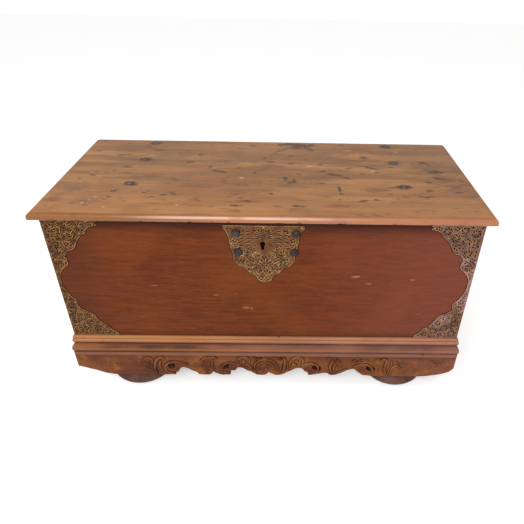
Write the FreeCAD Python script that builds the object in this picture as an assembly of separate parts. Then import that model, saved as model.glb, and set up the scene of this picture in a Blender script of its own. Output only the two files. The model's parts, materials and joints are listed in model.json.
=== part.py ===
import FreeCAD, Part
import math
import os

# Blanket chest, millimetres. +X is to the right, +Y to the back, +Z up.
# The origin is on the floor, under the middle of the whole object.
# A dovetailed board carcass stands on a mitred base of aprons, corner blocks and turned bun feet.
# The moulded lid turns on two iron strap hinges. Pierced brass mounts dress the corners and keyhole.

V = FreeCAD.Vector

# ---- how finely round work is cut ----
flats = 8                   # faces on a hand-cut head or a forged bar
pin_flats = 6
dome_flats = 10
foot_flats = 16
eye_flats = 12
turning_cuts = 3            # straight cuts along each curve of a turning
spring_cuts = 5
slot_cuts = 3               # straight saw cuts along the outer side of a pierced slot
edge_cuts = 2               # straight cuts along each small scallop of a brass outline

# ---- driving sizes: carcass ----
body_width = 1220.0
body_depth = 561.0
front_height = 418.0        # visible carcass height, plinth to lid
plinth_top = 215.0          # floor to the top of the plinth moulding
board = 22.0                # carcass board thickness
front_lap = 5.0             # wood left in front of the half-blind dovetails
tail_pitch = 70.0           # dovetail spacing aimed at
tail_slope = 1.0 / 7.0
tail_share = 0.62           # tail width at its wide end, as a share of the spacing
bottom_board = 18.0
bottom_rise = 25.0          # lower carcass edge to the underside of the bottom
groove_depth = 8.0
plank_lap = 12.0
wood_gap = 0.5              # room for wood to move in a groove

# ---- driving sizes: lid ----
lid_thick = 21.0
lid_overhang = 22.3         # front and both ends; the back is flush
ovolo_wide = 8.5
ovolo_tall = 8.3
ovolo_step = 1.7            # the small fillet above the ovolo
nose_flat = 3.0
nose_under = 4.0            # how far the lower edge rounds in

# ---- driving sizes: base ----
moulding_height = 75.0
apron_proud = 13.0          # apron face in front of the carcass face
moulding_lip = 1.0          # moulding's lower edge in front of the apron
apron_thick = 20.0
apron_height = 89.0
rail_height = 62.0
block_length = 260.0
block_height = 52.0
foot_radius = 106.0
foot_widest = 26.0          # height of the widest part
foot_base_radius = 82.0
foot_apron_gap = 1.0        # the bun's shoulder clears the apron by this
foot_neck_radius = 52.0
foot_neck_height = 66.0
foot_collar_radius = 60.0
foot_inset_x = 165.0        # apron inner face to foot centre, along the front
foot_inset_y = 79.0         # front apron's inner face to foot centre, along the end
foot_inset_back = 92.0      # back rail's inner face to foot centre, along the end
spigot_radius = 13.0
spigot_length = 38.0
spigot_gap = 0.2
spigot_spare = 2.0          # hole deeper than the spigot

# ---- driving sizes: brass ----
brass = 1.6
mount_top_gap = 8.0         # below the lid
mount_strip = 9.5           # width of the narrow strip down the corner
pin_radius = 3.4
pin_height = 1.8
nail_square = 5.0           # clench nails and rivets are square forged
whorl_pitch = 52.0          # spacing of the pierced whorls
whorl_arms = 3
whorl_turn = 40.0           # degrees from one whorl to the next
slot_length = 22.0
slot_belly = 7.2
slot_back = 2.4             # swell of a slot's inner side
slot_ring = 10.0            # slots stand this far from a whorl's centre
pierced_border = 4.0

# ---- driving sizes: escutcheon and lock ----
escutcheon_x = -3.5
escutcheon_height = 191.0
escutcheon_half = 113.0
escutcheon_top_gap = 17.0   # below the lid
key_x = -7.0
key_drop = 75.0             # lid to the centre of the keyhole's round top
key_round = 6.5
key_slot = 8.0
key_length = 25.0
key_plain = 17.0            # unpierced brass left round the keyhole
bolt_x = 3.0
bolt_spread = 167.5         # upper pair, centre to centre
bolt_spread_low = 159.0
bolt_drop = 41.6            # lid to the upper pair
bolt_drop_low = 102.2
bolt_head_radius = 12.3
bolt_head_height = 7.5
bolt_square = 7.0
shank_gap = 0.15
lock_plate_thick = 2.5
lock_plate_half = 98.0
lock_plate_height = 116.0
lock_case_half = 66.0
lock_case_height = 100.0
lock_case_depth = 24.0
lock_wall = 2.0
lock_top_gap = 2.0          # lock below the top edge of the board
latch_wide = 9.0            # lock bolt section, front to back
latch_tall = 10.0
latch_length = 44.0
latch_gap = 0.4
talon_long = 7.0
talon_tall = 9.0
notch_radius = 7.0          # the key's bit works in this notch
notch_deep = 3.0
guide_wall = 4.0
guide_length = 6.0
guide_back = 2.0            # metal behind the bolt
guide_nose = 1.0            # bolt's nose past the near guide at rest
spring_thick = 0.8
spring_bow = 2.7
spring_gap = 0.3
spring_side_gap = 1.0
staple_eye_drop = 18.0      # lid to the middle of the staple's eye
staple_room = 12.0          # room under the staple in the lock
staple_thick = 6.0
staple_wall = 4.0
staple_plate_length = 60.0
staple_plate_thick = 3.0
staple_gap = 1.0            # slot in the lock round the staple

# ---- driving sizes: hinges ----
hinge_x = 411.0
strap_wide = 38.0
strap_tip_wide = 24.0
strap_thick = 4.0
strap_tip_y = 150.0         # front carcass face to the strap's tip
pin_diameter = 6.0
running_gap = 0.05
eye_wall = 3.5
eye_stand_off = 0.5
strap_eye_width = 14.0
eye_side_gap = 0.4
pin_head_lip = 1.6
pin_head_thick = 2.0
leaf_thick = 3.5
leaf_height = 150.0
notch_gap = 0.5
rivet_from_front = (180.0, 371.0, 530.0)
rivet_head_radius = 7.0
rivet_head_height = 1.2
nail_head_radius = 6.0
nail_head_height = 2.2
nail_drops = (40.0, 85.0, 125.0)

# ---- driving sizes: end handles ----
handle_drop = 165.0         # lid to the handle's axis
handle_axis_out = 13.0      # end face to the handle's axis
post_spread = 104.0
post_width = 8.0
post_radius = 7.0
post_square = 7.0
journal_radius = 3.5
bail_radius = 4.5
bail_leg_spread = 78.0
bail_drop = 58.0
bail_corner = 20.0
bail_bends = 4
bail_side_gap = 0.4
journal_head = 3.0
journal_head_radius = 5.5
grip_radius = 7.0
grip_length = 52.0
plate_thick = 2.5
plate_height = 44.0

# ---- places worked out from the sizes ----
hinge_pin_radius = pin_diameter / 2
eye_hole = hinge_pin_radius + running_gap
eye_radius = hinge_pin_radius + eye_wall
half_width = body_width / 2
eye_reach = eye_radius * math.cos(math.pi / eye_flats)
total_depth = lid_overhang + body_depth + eye_stand_off + eye_radius + eye_reach
front = lid_overhang - total_depth / 2
back = front + body_depth
lid_under = plinth_top + front_height
lid_top = lid_under + lid_thick
carcass_low = plinth_top - moulding_height
carcass_height = lid_under - carcass_low
bottom_low = carcass_low + bottom_rise
apron_face = front - apron_proud
apron_inner = apron_face + apron_thick
side_inner = half_width + apron_proud - apron_thick
apron_low = carcass_low - apron_height
block_low = carcass_low - block_height
hinge_y = back + eye_stand_off + eye_radius
hinge_z = lid_under - eye_radius
lock_y = front + board + lock_plate_thick
latch_y = lock_y + lock_case_depth / 2 - lock_wall / 2
staple_half_y = latch_wide / 2 + latch_gap + staple_wall
staple_eye_z = lid_under - staple_eye_drop
staple_low = staple_eye_z - latch_tall / 2 - latch_gap - staple_wall
latch_nose = escutcheon_x - staple_thick / 2 - staple_gap - latch_gap
key_z = lid_under - key_drop
key_middle_z = key_z + key_round - key_length / 2
mount_height = front_height - mount_top_gap
escutcheon_top = lid_under - escutcheon_top_gap
lock_top = lid_under - lock_top_gap
mitre_reach = 3 * apron_thick
spare = 1.0                 # how far a cutting shape runs past what it cuts
handle_z = lid_under - handle_drop
handle_x = half_width + handle_axis_out
middle_y = (front + back) / 2


# ---- drawing helpers ----
def block(x0, x1, y0, y1, z0, z1):
    return Part.makeBox(x1 - x0, y1 - y0, z1 - z0, V(x0, y0, z0))


def rod(radius, length, start, direction):
    return Part.makeCylinder(radius, length, start, direction)


def on_front(u, v):
    return V(u, 0, v)


def on_end(u, v):
    return V(0, u, v)


def on_plan(u, v):
    return V(u, v, 0)


def drawn_edges(corners, plane):
    """Edges through (u, v, rise) corners; rise lifts the edge that ends there into an arc."""
    edges = []
    for (u0, v0, _), (u1, v1, rise) in zip(corners, corners[1:]):
        start = plane(u0, v0)
        end = plane(u1, v1)
        if rise == 0:
            edges.append(Part.makeLine(start, end))
            continue
        chord = math.hypot(u1 - u0, v1 - v0)
        middle_u = (u0 + u1) / 2 - (v1 - v0) / chord * rise
        middle_v = (v0 + v1) / 2 + (u1 - u0) / chord * rise
        edges.append(Part.Arc(start, plane(middle_u, middle_v), end).toShape())
    return edges


def drawn_face(corners, plane):
    return Part.Face(Part.Wire(drawn_edges(corners + [corners[0]], plane)))


def mirrored(shape):
    return shape.mirror(V(0, 0, 0), V(1, 0, 0))


def chorded(corners, count):
    """The same corners with each arc cut into straight chords, for a turning made in flat cuts."""
    made = [(corners[0][0], corners[0][1], 0)]
    for (u0, v0, _), (u1, v1, rise) in zip(corners, corners[1:]):
        if rise != 0:
            chord = math.hypot(u1 - u0, v1 - v0)
            half_turn = 2 * math.atan2(2 * rise, chord)
            for step in range(1, count):
                along = half_turn * (2 * step / count - 1)
                share = 0.5 + math.sin(along) / math.sin(half_turn) / 2
                height = chord / 2 * (math.cos(along) - math.cos(half_turn)) / math.sin(half_turn)
                u = u0 + (u1 - u0) * share - (v1 - v0) / chord * height
                v = v0 + (v1 - v0) * share + (u1 - u0) / chord * height
                made.append((u, v, 0))
        made.append((u1, v1, 0))
    return made


def ring(radius, count, centre, plane):
    """Points of a regular outline with count flats, about a point given in the plane."""
    points = []
    for index in range(count):
        angle = math.radians(360.0 / count * (index + 0.5))
        points.append(plane(centre[0] + radius * math.cos(angle), centre[1] + radius * math.sin(angle)))
    return points


def flat(points):
    return Part.Face(Part.makePolygon(points + [points[0]]))


def skinned(rings):
    """A closed solid of flat facets through rings of points, closed by the first and last ring."""
    faces = [flat(rings[0]), flat(rings[-1])]
    for low, high in zip(rings, rings[1:]):
        for index in range(len(low)):
            after = (index + 1) % len(low)
            faces.append(flat([low[index], low[after], high[after], high[index]]))
    solid = Part.makeSolid(Part.makeShell(faces))
    return solid if solid.Volume > 0 else solid.reversed()


def turned(corners, count):
    """A turning on the z axis from (radius, z, rise) corners, with count flats round it."""
    rings = []
    for radius, z, _ in chorded(corners, turning_cuts):
        rings.append([point + V(0, 0, z) for point in ring(radius, count, (0, 0), on_plan)])
    return skinned(rings)


def save(shape, node):
    shape.exportStep(os.path.join("parts", node + ".step"))
    print(node, len(shape.Solids), "solid(s)", round(shape.Volume / 1000, 1), "cm3")


# ---- carcass ----
def tails(end, lap, sign):
    """Dovetails of one end board: end is the carcass face, sign points from there inwards."""
    count = max(2, round(carcass_height / tail_pitch))
    pitch = carcass_height / count
    length = board - lap
    tip = end + sign * lap
    root = end + sign * board
    half = pitch * tail_share / 2
    made = []
    for index in range(count):
        middle = carcass_low + pitch * (index + 0.5)
        corners = [
            (tip, middle - half, 0),
            (root, middle - half + length * tail_slope, 0),
            (root, middle + half - length * tail_slope, 0),
            (tip, middle + half, 0),
        ]
        tail = drawn_face(corners, on_end).extrude(V(board, 0, 0))
        tail.translate(V(half_width - board, 0, 0))
        made.append(tail)
    return made


def all_tails():
    right = tails(front, front_lap, 1) + tails(back, 0.0, -1)
    return right + [mirrored(tail) for tail in right]


def bottom_groove():
    reach_x = half_width - board + groove_depth
    return block(-reach_x, reach_x, front + board - groove_depth, back - board + groove_depth,
                 bottom_low, bottom_low + bottom_board)


def keyhole(depth):
    face = front - brass
    half = key_slot / 2
    round_top = rod(key_round, depth, V(key_x, face, key_z), V(0, 1, 0))
    slot = block(key_x - half, key_x + half, face, face + depth, key_z + key_round - key_length, key_z)
    return round_top.fuse(slot).removeSplitter()


def bolt_places():
    places = []
    for side in (-1, 1):
        places.append((bolt_x + side * bolt_spread / 2, lid_under - bolt_drop))
        places.append((bolt_x + side * bolt_spread_low / 2, lid_under - bolt_drop_low))
    return places


def bolt_holes():
    half = bolt_square / 2 + shank_gap
    far = front + board + lock_plate_thick
    return [block(x - half, x + half, front - brass, far, z - half, z + half) for x, z in bolt_places()]


def front_board():
    plain = block(-half_width, half_width, front, front + board, carcass_low, lid_under)
    return plain.cut(all_tails() + [bottom_groove(), keyhole(brass + board)] + bolt_holes())


def hinge_notches():
    low = lid_under - strap_thick - notch_gap
    half = strap_wide / 2 + notch_gap
    return [block(x - half, x + half, back - board, back, low, lid_under) for x in (-hinge_x, hinge_x)]


def nail_places():
    return [(side * hinge_x, hinge_z - drop) for side in (-1, 1) for drop in nail_drops]


def nail_holes(near, far):
    half = nail_square / 2 + shank_gap
    return [block(x - half, x + half, near, far, z - half, z + half) for x, z in nail_places()]


def back_board():
    plain = block(-half_width, half_width, back - board, back, carcass_low, lid_under)
    return plain.cut(all_tails() + [bottom_groove()] + hinge_notches() + nail_holes(back - board, back))


def post_places():
    return [middle_y + side * post_spread / 2 for side in (-1, 1)]


def post_holes(inner, outer):
    half = post_square / 2 + shank_gap
    return [block(inner, outer, y - half, y + half, handle_z - half, handle_z + half) for y in post_places()]


def end_board_right():
    core = block(half_width - board, half_width, front + board, back - board, carcass_low, lid_under)
    tailed = core.fuse(tails(front, front_lap, 1) + tails(back, 0.0, -1)).removeSplitter()
    return tailed.cut([bottom_groove()] + post_holes(half_width - board, half_width))


def bottom_planks():
    """Two planks, rebated over each other along the middle, with room to move in the grooves."""
    reach_x = half_width - board + groove_depth - wood_gap
    low_y = front + board - groove_depth + wood_gap
    high_y = back - board + groove_depth - wood_gap
    mid_z = bottom_low + bottom_board / 2
    top_z = bottom_low + bottom_board
    lap_end = middle_y + plank_lap
    near = block(-reach_x, reach_x, low_y, middle_y, bottom_low, top_z)
    near = near.fuse(block(-reach_x, reach_x, middle_y, lap_end, bottom_low, mid_z)).removeSplitter()
    far = block(-reach_x, reach_x, lap_end, high_y, bottom_low, top_z)
    far = far.fuse(block(-reach_x, reach_x, middle_y, lap_end, mid_z, top_z)).removeSplitter()
    return near, far


# ---- base ----
def wedge(corners, low, high):
    made = drawn_face(corners, on_plan).extrude(V(0, 0, high - low))
    made.translate(V(0, 0, low))
    return made


def mitre_front(low, high):
    """Plan wedge that keeps the front run of the base, mitred through the carcass corners."""
    out = mitre_reach
    corners = [
        (-half_width - out, front - out, 0),
        (half_width + out, front - out, 0),
        (half_width - out, front + out, 0),
        (-half_width + out, front + out, 0),
    ]
    return wedge(corners, low, high)


def mitre_right(low, high):
    out = mitre_reach
    corners = [
        (half_width + out, front - out, 0),
        (half_width + out, back, 0),
        (half_width - out, back, 0),
        (half_width - out, front + out, 0),
    ]
    return wedge(corners, low, high)


def moulding_section():
    """(out, up, rise) from the carcass face and the moulding's lower edge: two beads and a fillet.

    The outline is given in shares of how far the moulding stands out and of its height.
    """
    proud = apron_proud + moulding_lip
    shares = [
        (0.00, 0.00, 0),
        (1.00, 0.00, 0),
        (0.93, 0.12, 0),
        (0.71, 0.12, 0),
        (0.61, 0.23, -1.6),
        (0.57, 0.55, 4.6),
        (0.36, 0.63, -1.8),
        (0.64, 0.75, 0),
        (0.43, 0.97, 3.4),
        (0.29, 1.00, 0.5),
        (0.00, 1.00, 0),
    ]
    return [(out * proud, up * moulding_height, rise) for out, up, rise in shares]


def moulding_front():
    section = [(front - out, carcass_low + up, -rise) for out, up, rise in moulding_section()]
    run = drawn_face(section, on_end).extrude(V(body_width + 2 * mitre_reach, 0, 0))
    run.translate(V(-half_width - mitre_reach, 0, 0))
    return run.common(mitre_front(carcass_low, plinth_top))


def moulding_right():
    section = [(half_width + out, carcass_low + up, rise) for out, up, rise in moulding_section()]
    run = drawn_face(section, on_front).extrude(V(0, body_depth + 2 * mitre_reach, 0))
    run.translate(V(0, front - mitre_reach, 0))
    return run.common(mitre_right(carcass_low, plinth_top))


def scallops():
    """Right half of the front apron's lower edge, from the middle outwards.

    (share of the half length, share of the apron height left, rise)
    """
    return [
        (0.000, 0.135, 0),
        (0.056, 0.020, -2.4),
        (0.104, 0.140, -3.2),
        (0.160, 0.350, 1.5),
        (0.196, 0.230, 5.0),
        (0.206, 0.235, 0),
        (0.228, 0.130, -2.0),
        (0.228, 0.020, 0),
        (0.278, 0.065, -1.6),
        (0.303, 0.150, 0),
        (0.348, 0.020, -2.6),
        (0.392, 0.110, -2.2),
        (0.455, 0.340, 1.0),
        (0.492, 0.215, 4.4),
        (0.502, 0.215, 0),
        (0.532, 0.010, -3.2),
        (0.825, 0.000, 0),
        (0.885, 0.070, 0),
        (0.950, 0.200, -1.5),
        (1.000, 0.420, -1.5),
    ]


def apron_front():
    half_length = half_width + apron_proud
    right = [(s * half_length, apron_low + h * apron_height, rise) for s, h, rise in scallops()]
    left = []
    for index in range(len(right) - 1, 0, -1):
        left.append((-right[index - 1][0], right[index - 1][1], right[index][2]))
    corners = [(-half_length, carcass_low, 0), (-half_length, right[-1][1], 0)] + left + right[1:]
    corners = corners + [(half_length, carcass_low, 0)]
    apron = drawn_face(corners, on_front).extrude(V(0, apron_thick, 0))
    apron.translate(V(0, apron_face, 0))
    return apron.common(mitre_front(apron_low - spare, carcass_low))


def apron_right():
    """The end apron: low at the feet, an ogee rise to a flat between them."""
    length = back - apron_face
    shares = [
        (0.00, 1.00, 0),
        (0.00, 0.42, 0),
        (0.105, 0.06, 3.0),
        (0.30, 0.00, 0),
        (0.36, 0.28, 4.0),
        (0.42, 0.62, -4.0),
        (0.60, 0.62, 0),
        (0.66, 0.28, -4.0),
        (0.72, 0.00, 4.0),
        (1.00, 0.00, 0),
        (1.00, 1.00, 0),
    ]
    corners = []
    for along, up, rise in shares:
        corners.append((apron_face + along * length, apron_low + up * apron_height, rise))
    apron = drawn_face(corners, on_end).extrude(V(apron_thick, 0, 0))
    apron.translate(V(side_inner, 0, 0))
    return apron.common(mitre_right(apron_low - spare, carcass_low))


def base_rail_back():
    return block(-side_inner, side_inner, back - apron_thick, back, carcass_low - rail_height, carcass_low)


def foot_places():
    """Node ending, x, y for each foot."""
    x = side_inner - foot_inset_x
    near = apron_inner + foot_inset_y
    far = back - apron_thick - foot_inset_back
    return [
        ("front_left", -x, near),
        ("front_right", x, near),
        ("back_left", -x, far),
        ("back_right", x, far),
    ]


def corner_block(ending, x, y):
    """Block behind an apron corner, bored for the foot's spigot."""
    reach_y = foot_inset_y if ending.startswith("front") else foot_inset_back
    ys = (y - reach_y, y + reach_y)
    outer = math.copysign(side_inner, x)
    xs = sorted((outer, outer - math.copysign(block_length, x)))
    plain = block(xs[0], xs[1], ys[0], ys[1], block_low, carcass_low)
    hole = rod(spigot_radius + spigot_gap, spigot_length + spigot_spare, V(x, y, block_low), V(0, 0, 1))
    return plain.cut(hole)


def foot(x, y):
    """A squat turned bun with a shoulder that clears the apron, a neck, a collar and a spigot."""
    collar_rise = block_low - foot_neck_height
    corners = [
        (foot_base_radius, 0, 0),
        (foot_radius, foot_widest, -5.0),
        (foot_inset_y - foot_apron_gap, apron_low - foot_apron_gap, -4.0),
        (foot_neck_radius, foot_neck_height, -2.0),
        (foot_collar_radius, foot_neck_height + collar_rise / 2, 0),
        (foot_collar_radius, block_low, 0),
        (spigot_radius, block_low, 0),
        (spigot_radius, block_low + spigot_length, 0),
    ]
    bun = turned(corners, foot_flats)
    bun.translate(V(x, y, 0))
    return bun


# ---- pierced brass ----
def crescent(u, v, angle, plane):
    """One scroll-shaped slot: a long outer side sawn in short cuts and a hollow inner side."""
    du = math.cos(angle)
    dv = math.sin(angle)
    half = slot_length / 2
    side = [(u - du * half, v - dv * half, 0), (u + du * half, v + dv * half, slot_belly)]
    outer = chorded(side, slot_cuts)
    return drawn_face(outer + [(u + dv * slot_back, v - du * slot_back, 0)], plane)


def whorl_centres(corners, origin):
    """Honeycomb points over the outline's box, each with the turn of its whorl."""
    us = [corner[0] for corner in corners]
    vs = [corner[1] for corner in corners]
    row_step = whorl_pitch * math.sqrt(3) / 2
    low_row = math.floor((min(vs) - origin[1]) / row_step)
    high_row = math.ceil((max(vs) - origin[1]) / row_step)
    low_column = math.floor((min(us) - origin[0]) / whorl_pitch) - 1
    high_column = math.ceil((max(us) - origin[0]) / whorl_pitch)
    centres = []
    for row in range(low_row, high_row + 1):
        for column in range(low_column, high_column + 1):
            u = origin[0] + (column + 0.5 * (row % 2)) * whorl_pitch
            turn = math.radians(whorl_turn * ((row + column) % whorl_arms))
            centres.append((u, origin[1] + row * row_step, turn))
    return centres


def whorls(corners, plane, origin, keep_clear):
    """Slots round the points of a honeycomb, where they fit inside the outline."""
    sheet = drawn_face(corners, plane)
    slots = []
    for centre_u, centre_v, turn in whorl_centres(corners, origin):
        for arm in range(whorl_arms):
            angle = turn + arm * 2 * math.pi / whorl_arms
            u = centre_u + slot_ring * math.cos(angle)
            v = centre_v + slot_ring * math.sin(angle)
            middle_u = u + slot_belly / 2 * math.cos(angle)
            middle_v = v + slot_belly / 2 * math.sin(angle)
            middle = plane(middle_u, middle_v)
            room = [middle.distanceToPoint(plane(cu, cv)) - radius for cu, cv, radius in keep_clear]
            if min(room, default=slot_length) < slot_length / 2 or not sheet.isInside(middle, spare, True):
                continue
            slot = crescent(u, v, angle - math.pi / 2, plane)
            if slot.distToShape(sheet.OuterWire)[0] > pierced_border:
                slots.append(slot)
    return slots


def mount_outline(corner_edge):
    """(distance from the corner, height, rise) of one wing; corner_edge is its straight edge."""
    shape = [
        (148.0, 1.000, 0),
        (146.0, 0.960, 7.0),
        (120.0, 0.935, -2.5),
        (104.0, 0.890, 3.0),
        (78.0, 0.800, -3.0),
        (58.0, 0.765, 3.0),
        (39.0, 0.715, -2.0),
        (44.0, 0.680, 2.0),
        (37.0, 0.635, 2.5),
        (mount_strip, 0.545, -4.0),
        (mount_strip, 0.480, 0),
        (20.0, 0.405, -2.0),
        (38.0, 0.345, -3.0),
        (36.0, 0.290, 3.0),
        (62.0, 0.235, -3.0),
        (82.0, 0.185, 3.0),
        (104.0, 0.110, -3.0),
        (122.0, 0.060, 3.0),
        (137.0, 0.032, -1.0),
        (137.0, 0.000, 4.0),
    ]
    wing = [(across, plinth_top + up * mount_height, rise) for across, up, rise in shape]
    return [(corner_edge, plinth_top + mount_height, 0)] + wing + [(corner_edge, plinth_top, 0)]


def corner_mount_right():
    wing = chorded(mount_outline(-brass), edge_cuts)
    front_wing = [(half_width - d, z, 0) for d, z, _ in wing]
    end_wing = [(front + d, z, 0) for d, z, _ in wing]
    inset = whorl_pitch * 0.6
    first_z = plinth_top + mount_height - inset
    on_face = whorls(front_wing, on_front, (half_width - inset, first_z), [])
    on_side = whorls(end_wing, on_end, (front + inset, first_z), [])
    face = drawn_face(front_wing, on_front).extrude(V(0, brass, 0))
    face = face.cut([slot.extrude(V(0, brass, 0)) for slot in on_face])
    face.translate(V(0, front - brass, 0))
    side = drawn_face(end_wing, on_end).extrude(V(brass, 0, 0))
    side = side.cut([slot.extrude(V(brass, 0, 0)) for slot in on_side])
    side.translate(V(half_width, 0, 0))
    return face.fuse(side).removeSplitter()


def tapered(low_radius, high_radius, height, count):
    """A faceted head on the floor plane, narrowing upwards."""
    low = ring(low_radius, count, (0, 0), on_plan)
    high = [point + V(0, 0, height) for point in ring(high_radius, count, (0, 0), on_plan)]
    return skinned([low, high])


def placed(shape, direction, place):
    shape.Placement = FreeCAD.Placement(place, FreeCAD.Rotation(V(0, 0, 1), direction))
    return shape


def pin(place, direction):
    """One small faceted pin head standing out from place along direction."""
    return placed(tapered(pin_radius, pin_radius * 0.55, pin_height, pin_flats), direction, place)


def corner_pins_right():
    """Pins at the outline's cusps, (distance from the corner, share of the height), on both wings."""
    places = [
        (140.0, 0.975),
        (98.0, 0.900),
        (55.0, 0.790),
        (36.0, 0.680),
        (5.0, 0.590),
        (5.0, 0.450),
        (32.0, 0.320),
        (72.0, 0.195),
        (102.0, 0.085),
        (6.0, 0.960),
    ]
    pins = []
    for across, up in places:
        z = plinth_top + up * mount_height
        pins.append(pin(V(half_width - across, front - brass, z), V(0, -1, 0)))
        pins.append(pin(V(half_width + brass, front + across, z), V(1, 0, 0)))
    return Part.makeCompound(pins)


def escutcheon_outline():
    """(share of the half width, share of the height from the top, rise) down the right side."""
    half = [
        (0.985, 0.000, 0),
        (0.990, 0.055, 4.5),
        (0.920, 0.126, -1.5),
        (0.865, 0.240, -1.5),
        (0.830, 0.340, 1.5),
        (0.810, 0.435, 1.5),
        (0.780, 0.550, -1.5),
        (0.725, 0.630, 3.0),
        (0.630, 0.696, 1.5),
        (0.460, 0.765, -2.5),
        (0.290, 0.848, 2.5),
        (0.190, 0.932, -2.5),
        (0.090, 0.984, 3.0),
    ]
    tip_rise = 0.8
    right = []
    for across, drop, rise in half:
        x = escutcheon_x + across * escutcheon_half
        right.append((x, escutcheon_top - drop * escutcheon_height, rise))
    tip = (escutcheon_x, escutcheon_top - escutcheon_height, tip_rise)
    rises = [tip_rise] + [point[2] for point in reversed(half)]
    left = []
    for index, point in enumerate(reversed(right)):
        left.append((2 * escutcheon_x - point[0], point[1], rises[index]))
    return right + [tip] + left


def escutcheon():
    clear = [(x, z, bolt_head_radius) for x, z in bolt_places()]
    clear.append((key_x, key_middle_z, key_plain))
    corners = chorded(escutcheon_outline(), edge_cuts)
    slots = whorls(corners, on_front, (escutcheon_x, key_middle_z), clear)
    plate = drawn_face(corners, on_front).extrude(V(0, brass, 0))
    plate = plate.cut([slot.extrude(V(0, brass, 0)) for slot in slots])
    plate.translate(V(0, front - brass, 0))
    return plate.cut([keyhole(brass)] + bolt_holes())


def escutcheon_pins():
    places = [
        (0.930, 0.030),
        (0.800, 0.300),
        (0.690, 0.620),
        (0.370, 0.790),
    ]
    spots = [(0.0, 0.960), (0.0, 0.035)]
    for share, drop in places:
        spots = spots + [(share, drop), (-share, drop)]
    pins = []
    for share, drop in spots:
        x = escutcheon_x + share * escutcheon_half
        pins.append(pin(V(x, front - brass, escutcheon_top - drop * escutcheon_height), V(0, -1, 0)))
    return Part.makeCompound(pins)


def dome_bolt(shank_length):
    """A domed head on the floor plane, with its square shank going down."""
    crown = bolt_head_radius * 0.25
    corners = [
        (bolt_head_radius, 0, 0),
        (crown, bolt_head_height, -3.0),
    ]
    half = bolt_square / 2
    shank = block(-half, half, -half, half, -shank_length, 0)
    return turned(corners, dome_flats).fuse(shank).removeSplitter()


def rose_nail(radius, height, shank_length):
    """A forged nail: a low faceted head on the floor plane and a square shank going down."""
    half = nail_square / 2
    head = tapered(radius, radius * 0.35, height, pin_flats)
    shank = block(-half, half, -half, half, -shank_length, 0)
    return head.fuse(shank).removeSplitter()


def escutcheon_bolts():
    length = brass + board + lock_plate_thick
    bolts = []
    for x, z in bolt_places():
        bolts.append(placed(dome_bolt(length), V(0, -1, 0), V(x, front - brass, z)))
    return Part.makeCompound(bolts)


# ---- lock ----
def lock_plate():
    plain = block(escutcheon_x - lock_plate_half, escutcheon_x + lock_plate_half, front + board, lock_y,
                  lock_top - lock_plate_height, lock_top)
    return plain.cut([keyhole(brass + board + lock_plate_thick)] + bolt_holes())


def staple_slot():
    """Room in the lock case for the staple as the lid comes down."""
    half_x = staple_thick / 2 + staple_gap
    half_y = staple_half_y + staple_gap
    return block(escutcheon_x - half_x, escutcheon_x + half_x, latch_y - half_y, latch_y + half_y,
                 staple_low - staple_room, lid_under)


def lock_case():
    """An iron box on the lock plate, its side to the plate left open."""
    low = lock_top - lock_case_height
    x0 = escutcheon_x - lock_case_half
    x1 = escutcheon_x + lock_case_half
    far = lock_y + lock_case_depth
    wall = lock_wall
    outer = block(x0, x1, lock_y, far, low, lock_top)
    inner = block(x0 + wall, x1 - wall, lock_y, far - wall, low + wall, lock_top - wall)
    return outer.cut([inner, staple_slot()])


def lock_bolt():
    """The sliding bolt, drawn back clear of the staple, with its talon and the notch the key turns in."""
    tail = latch_nose - latch_length
    y0 = latch_y - latch_wide / 2
    y1 = latch_y + latch_wide / 2
    z0 = staple_eye_z - latch_tall / 2
    bar = block(tail, latch_nose, y0, y1, z0, z0 + latch_tall)
    talon = block(tail, tail + talon_long, y0, y1, z0 - talon_tall, z0)
    notch_z = z0 + notch_deep - notch_radius
    notch = rod(notch_radius, latch_wide, V(tail + latch_length / 2, y0, notch_z), V(0, 1, 0))
    return bar.fuse(talon).removeSplitter().cut(notch)


def lock_guides():
    """Two brackets on the lock plate that the bolt slides through, one each side of the staple."""
    half_z = latch_tall / 2 + latch_gap
    y0 = latch_y - latch_wide / 2 - latch_gap
    y1 = latch_y + latch_wide / 2 + latch_gap
    near_x = latch_nose - guide_nose - guide_length
    far_x = escutcheon_x + staple_thick / 2 + staple_gap + guide_nose
    tunnel = block(near_x, far_x + guide_length, y0, y1, staple_eye_z - half_z, staple_eye_z + half_z)
    made = []
    for x in (near_x, far_x):
        bracket = block(x, x + guide_length, lock_y, y1 + guide_back, staple_eye_z - half_z - guide_wall,
                        staple_eye_z + half_z + guide_wall)
        made.append(bracket.cut(tunnel))
    return Part.makeCompound(made)


def lock_spring():
    """A bowed leaf that bears down on the bolt from the case's end wall."""
    x0 = escutcheon_x - lock_case_half + lock_wall
    x1 = latch_nose - 2 * guide_nose - guide_length
    z0 = staple_eye_z + latch_tall / 2 + spring_gap + spring_bow
    z1 = z0 + spring_thick
    under = chorded([(x0, z0, 0), (x1, z0, -spring_bow)], spring_cuts)
    over = chorded([(x1, z1, 0), (x0, z1, spring_bow)], spring_cuts)
    leaf = drawn_face(under + over, on_front).extrude(V(0, latch_wide - 2 * spring_side_gap, 0))
    leaf.translate(V(0, latch_y - latch_wide / 2 + spring_side_gap, 0))
    return leaf


def staple_plate():
    """The staple's plate, let into the underside of the lid."""
    half_x = staple_plate_length / 2
    return block(escutcheon_x - half_x, escutcheon_x + half_x, latch_y - staple_half_y,
                 latch_y + staple_half_y, lid_under, lid_under + staple_plate_thick)


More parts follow.
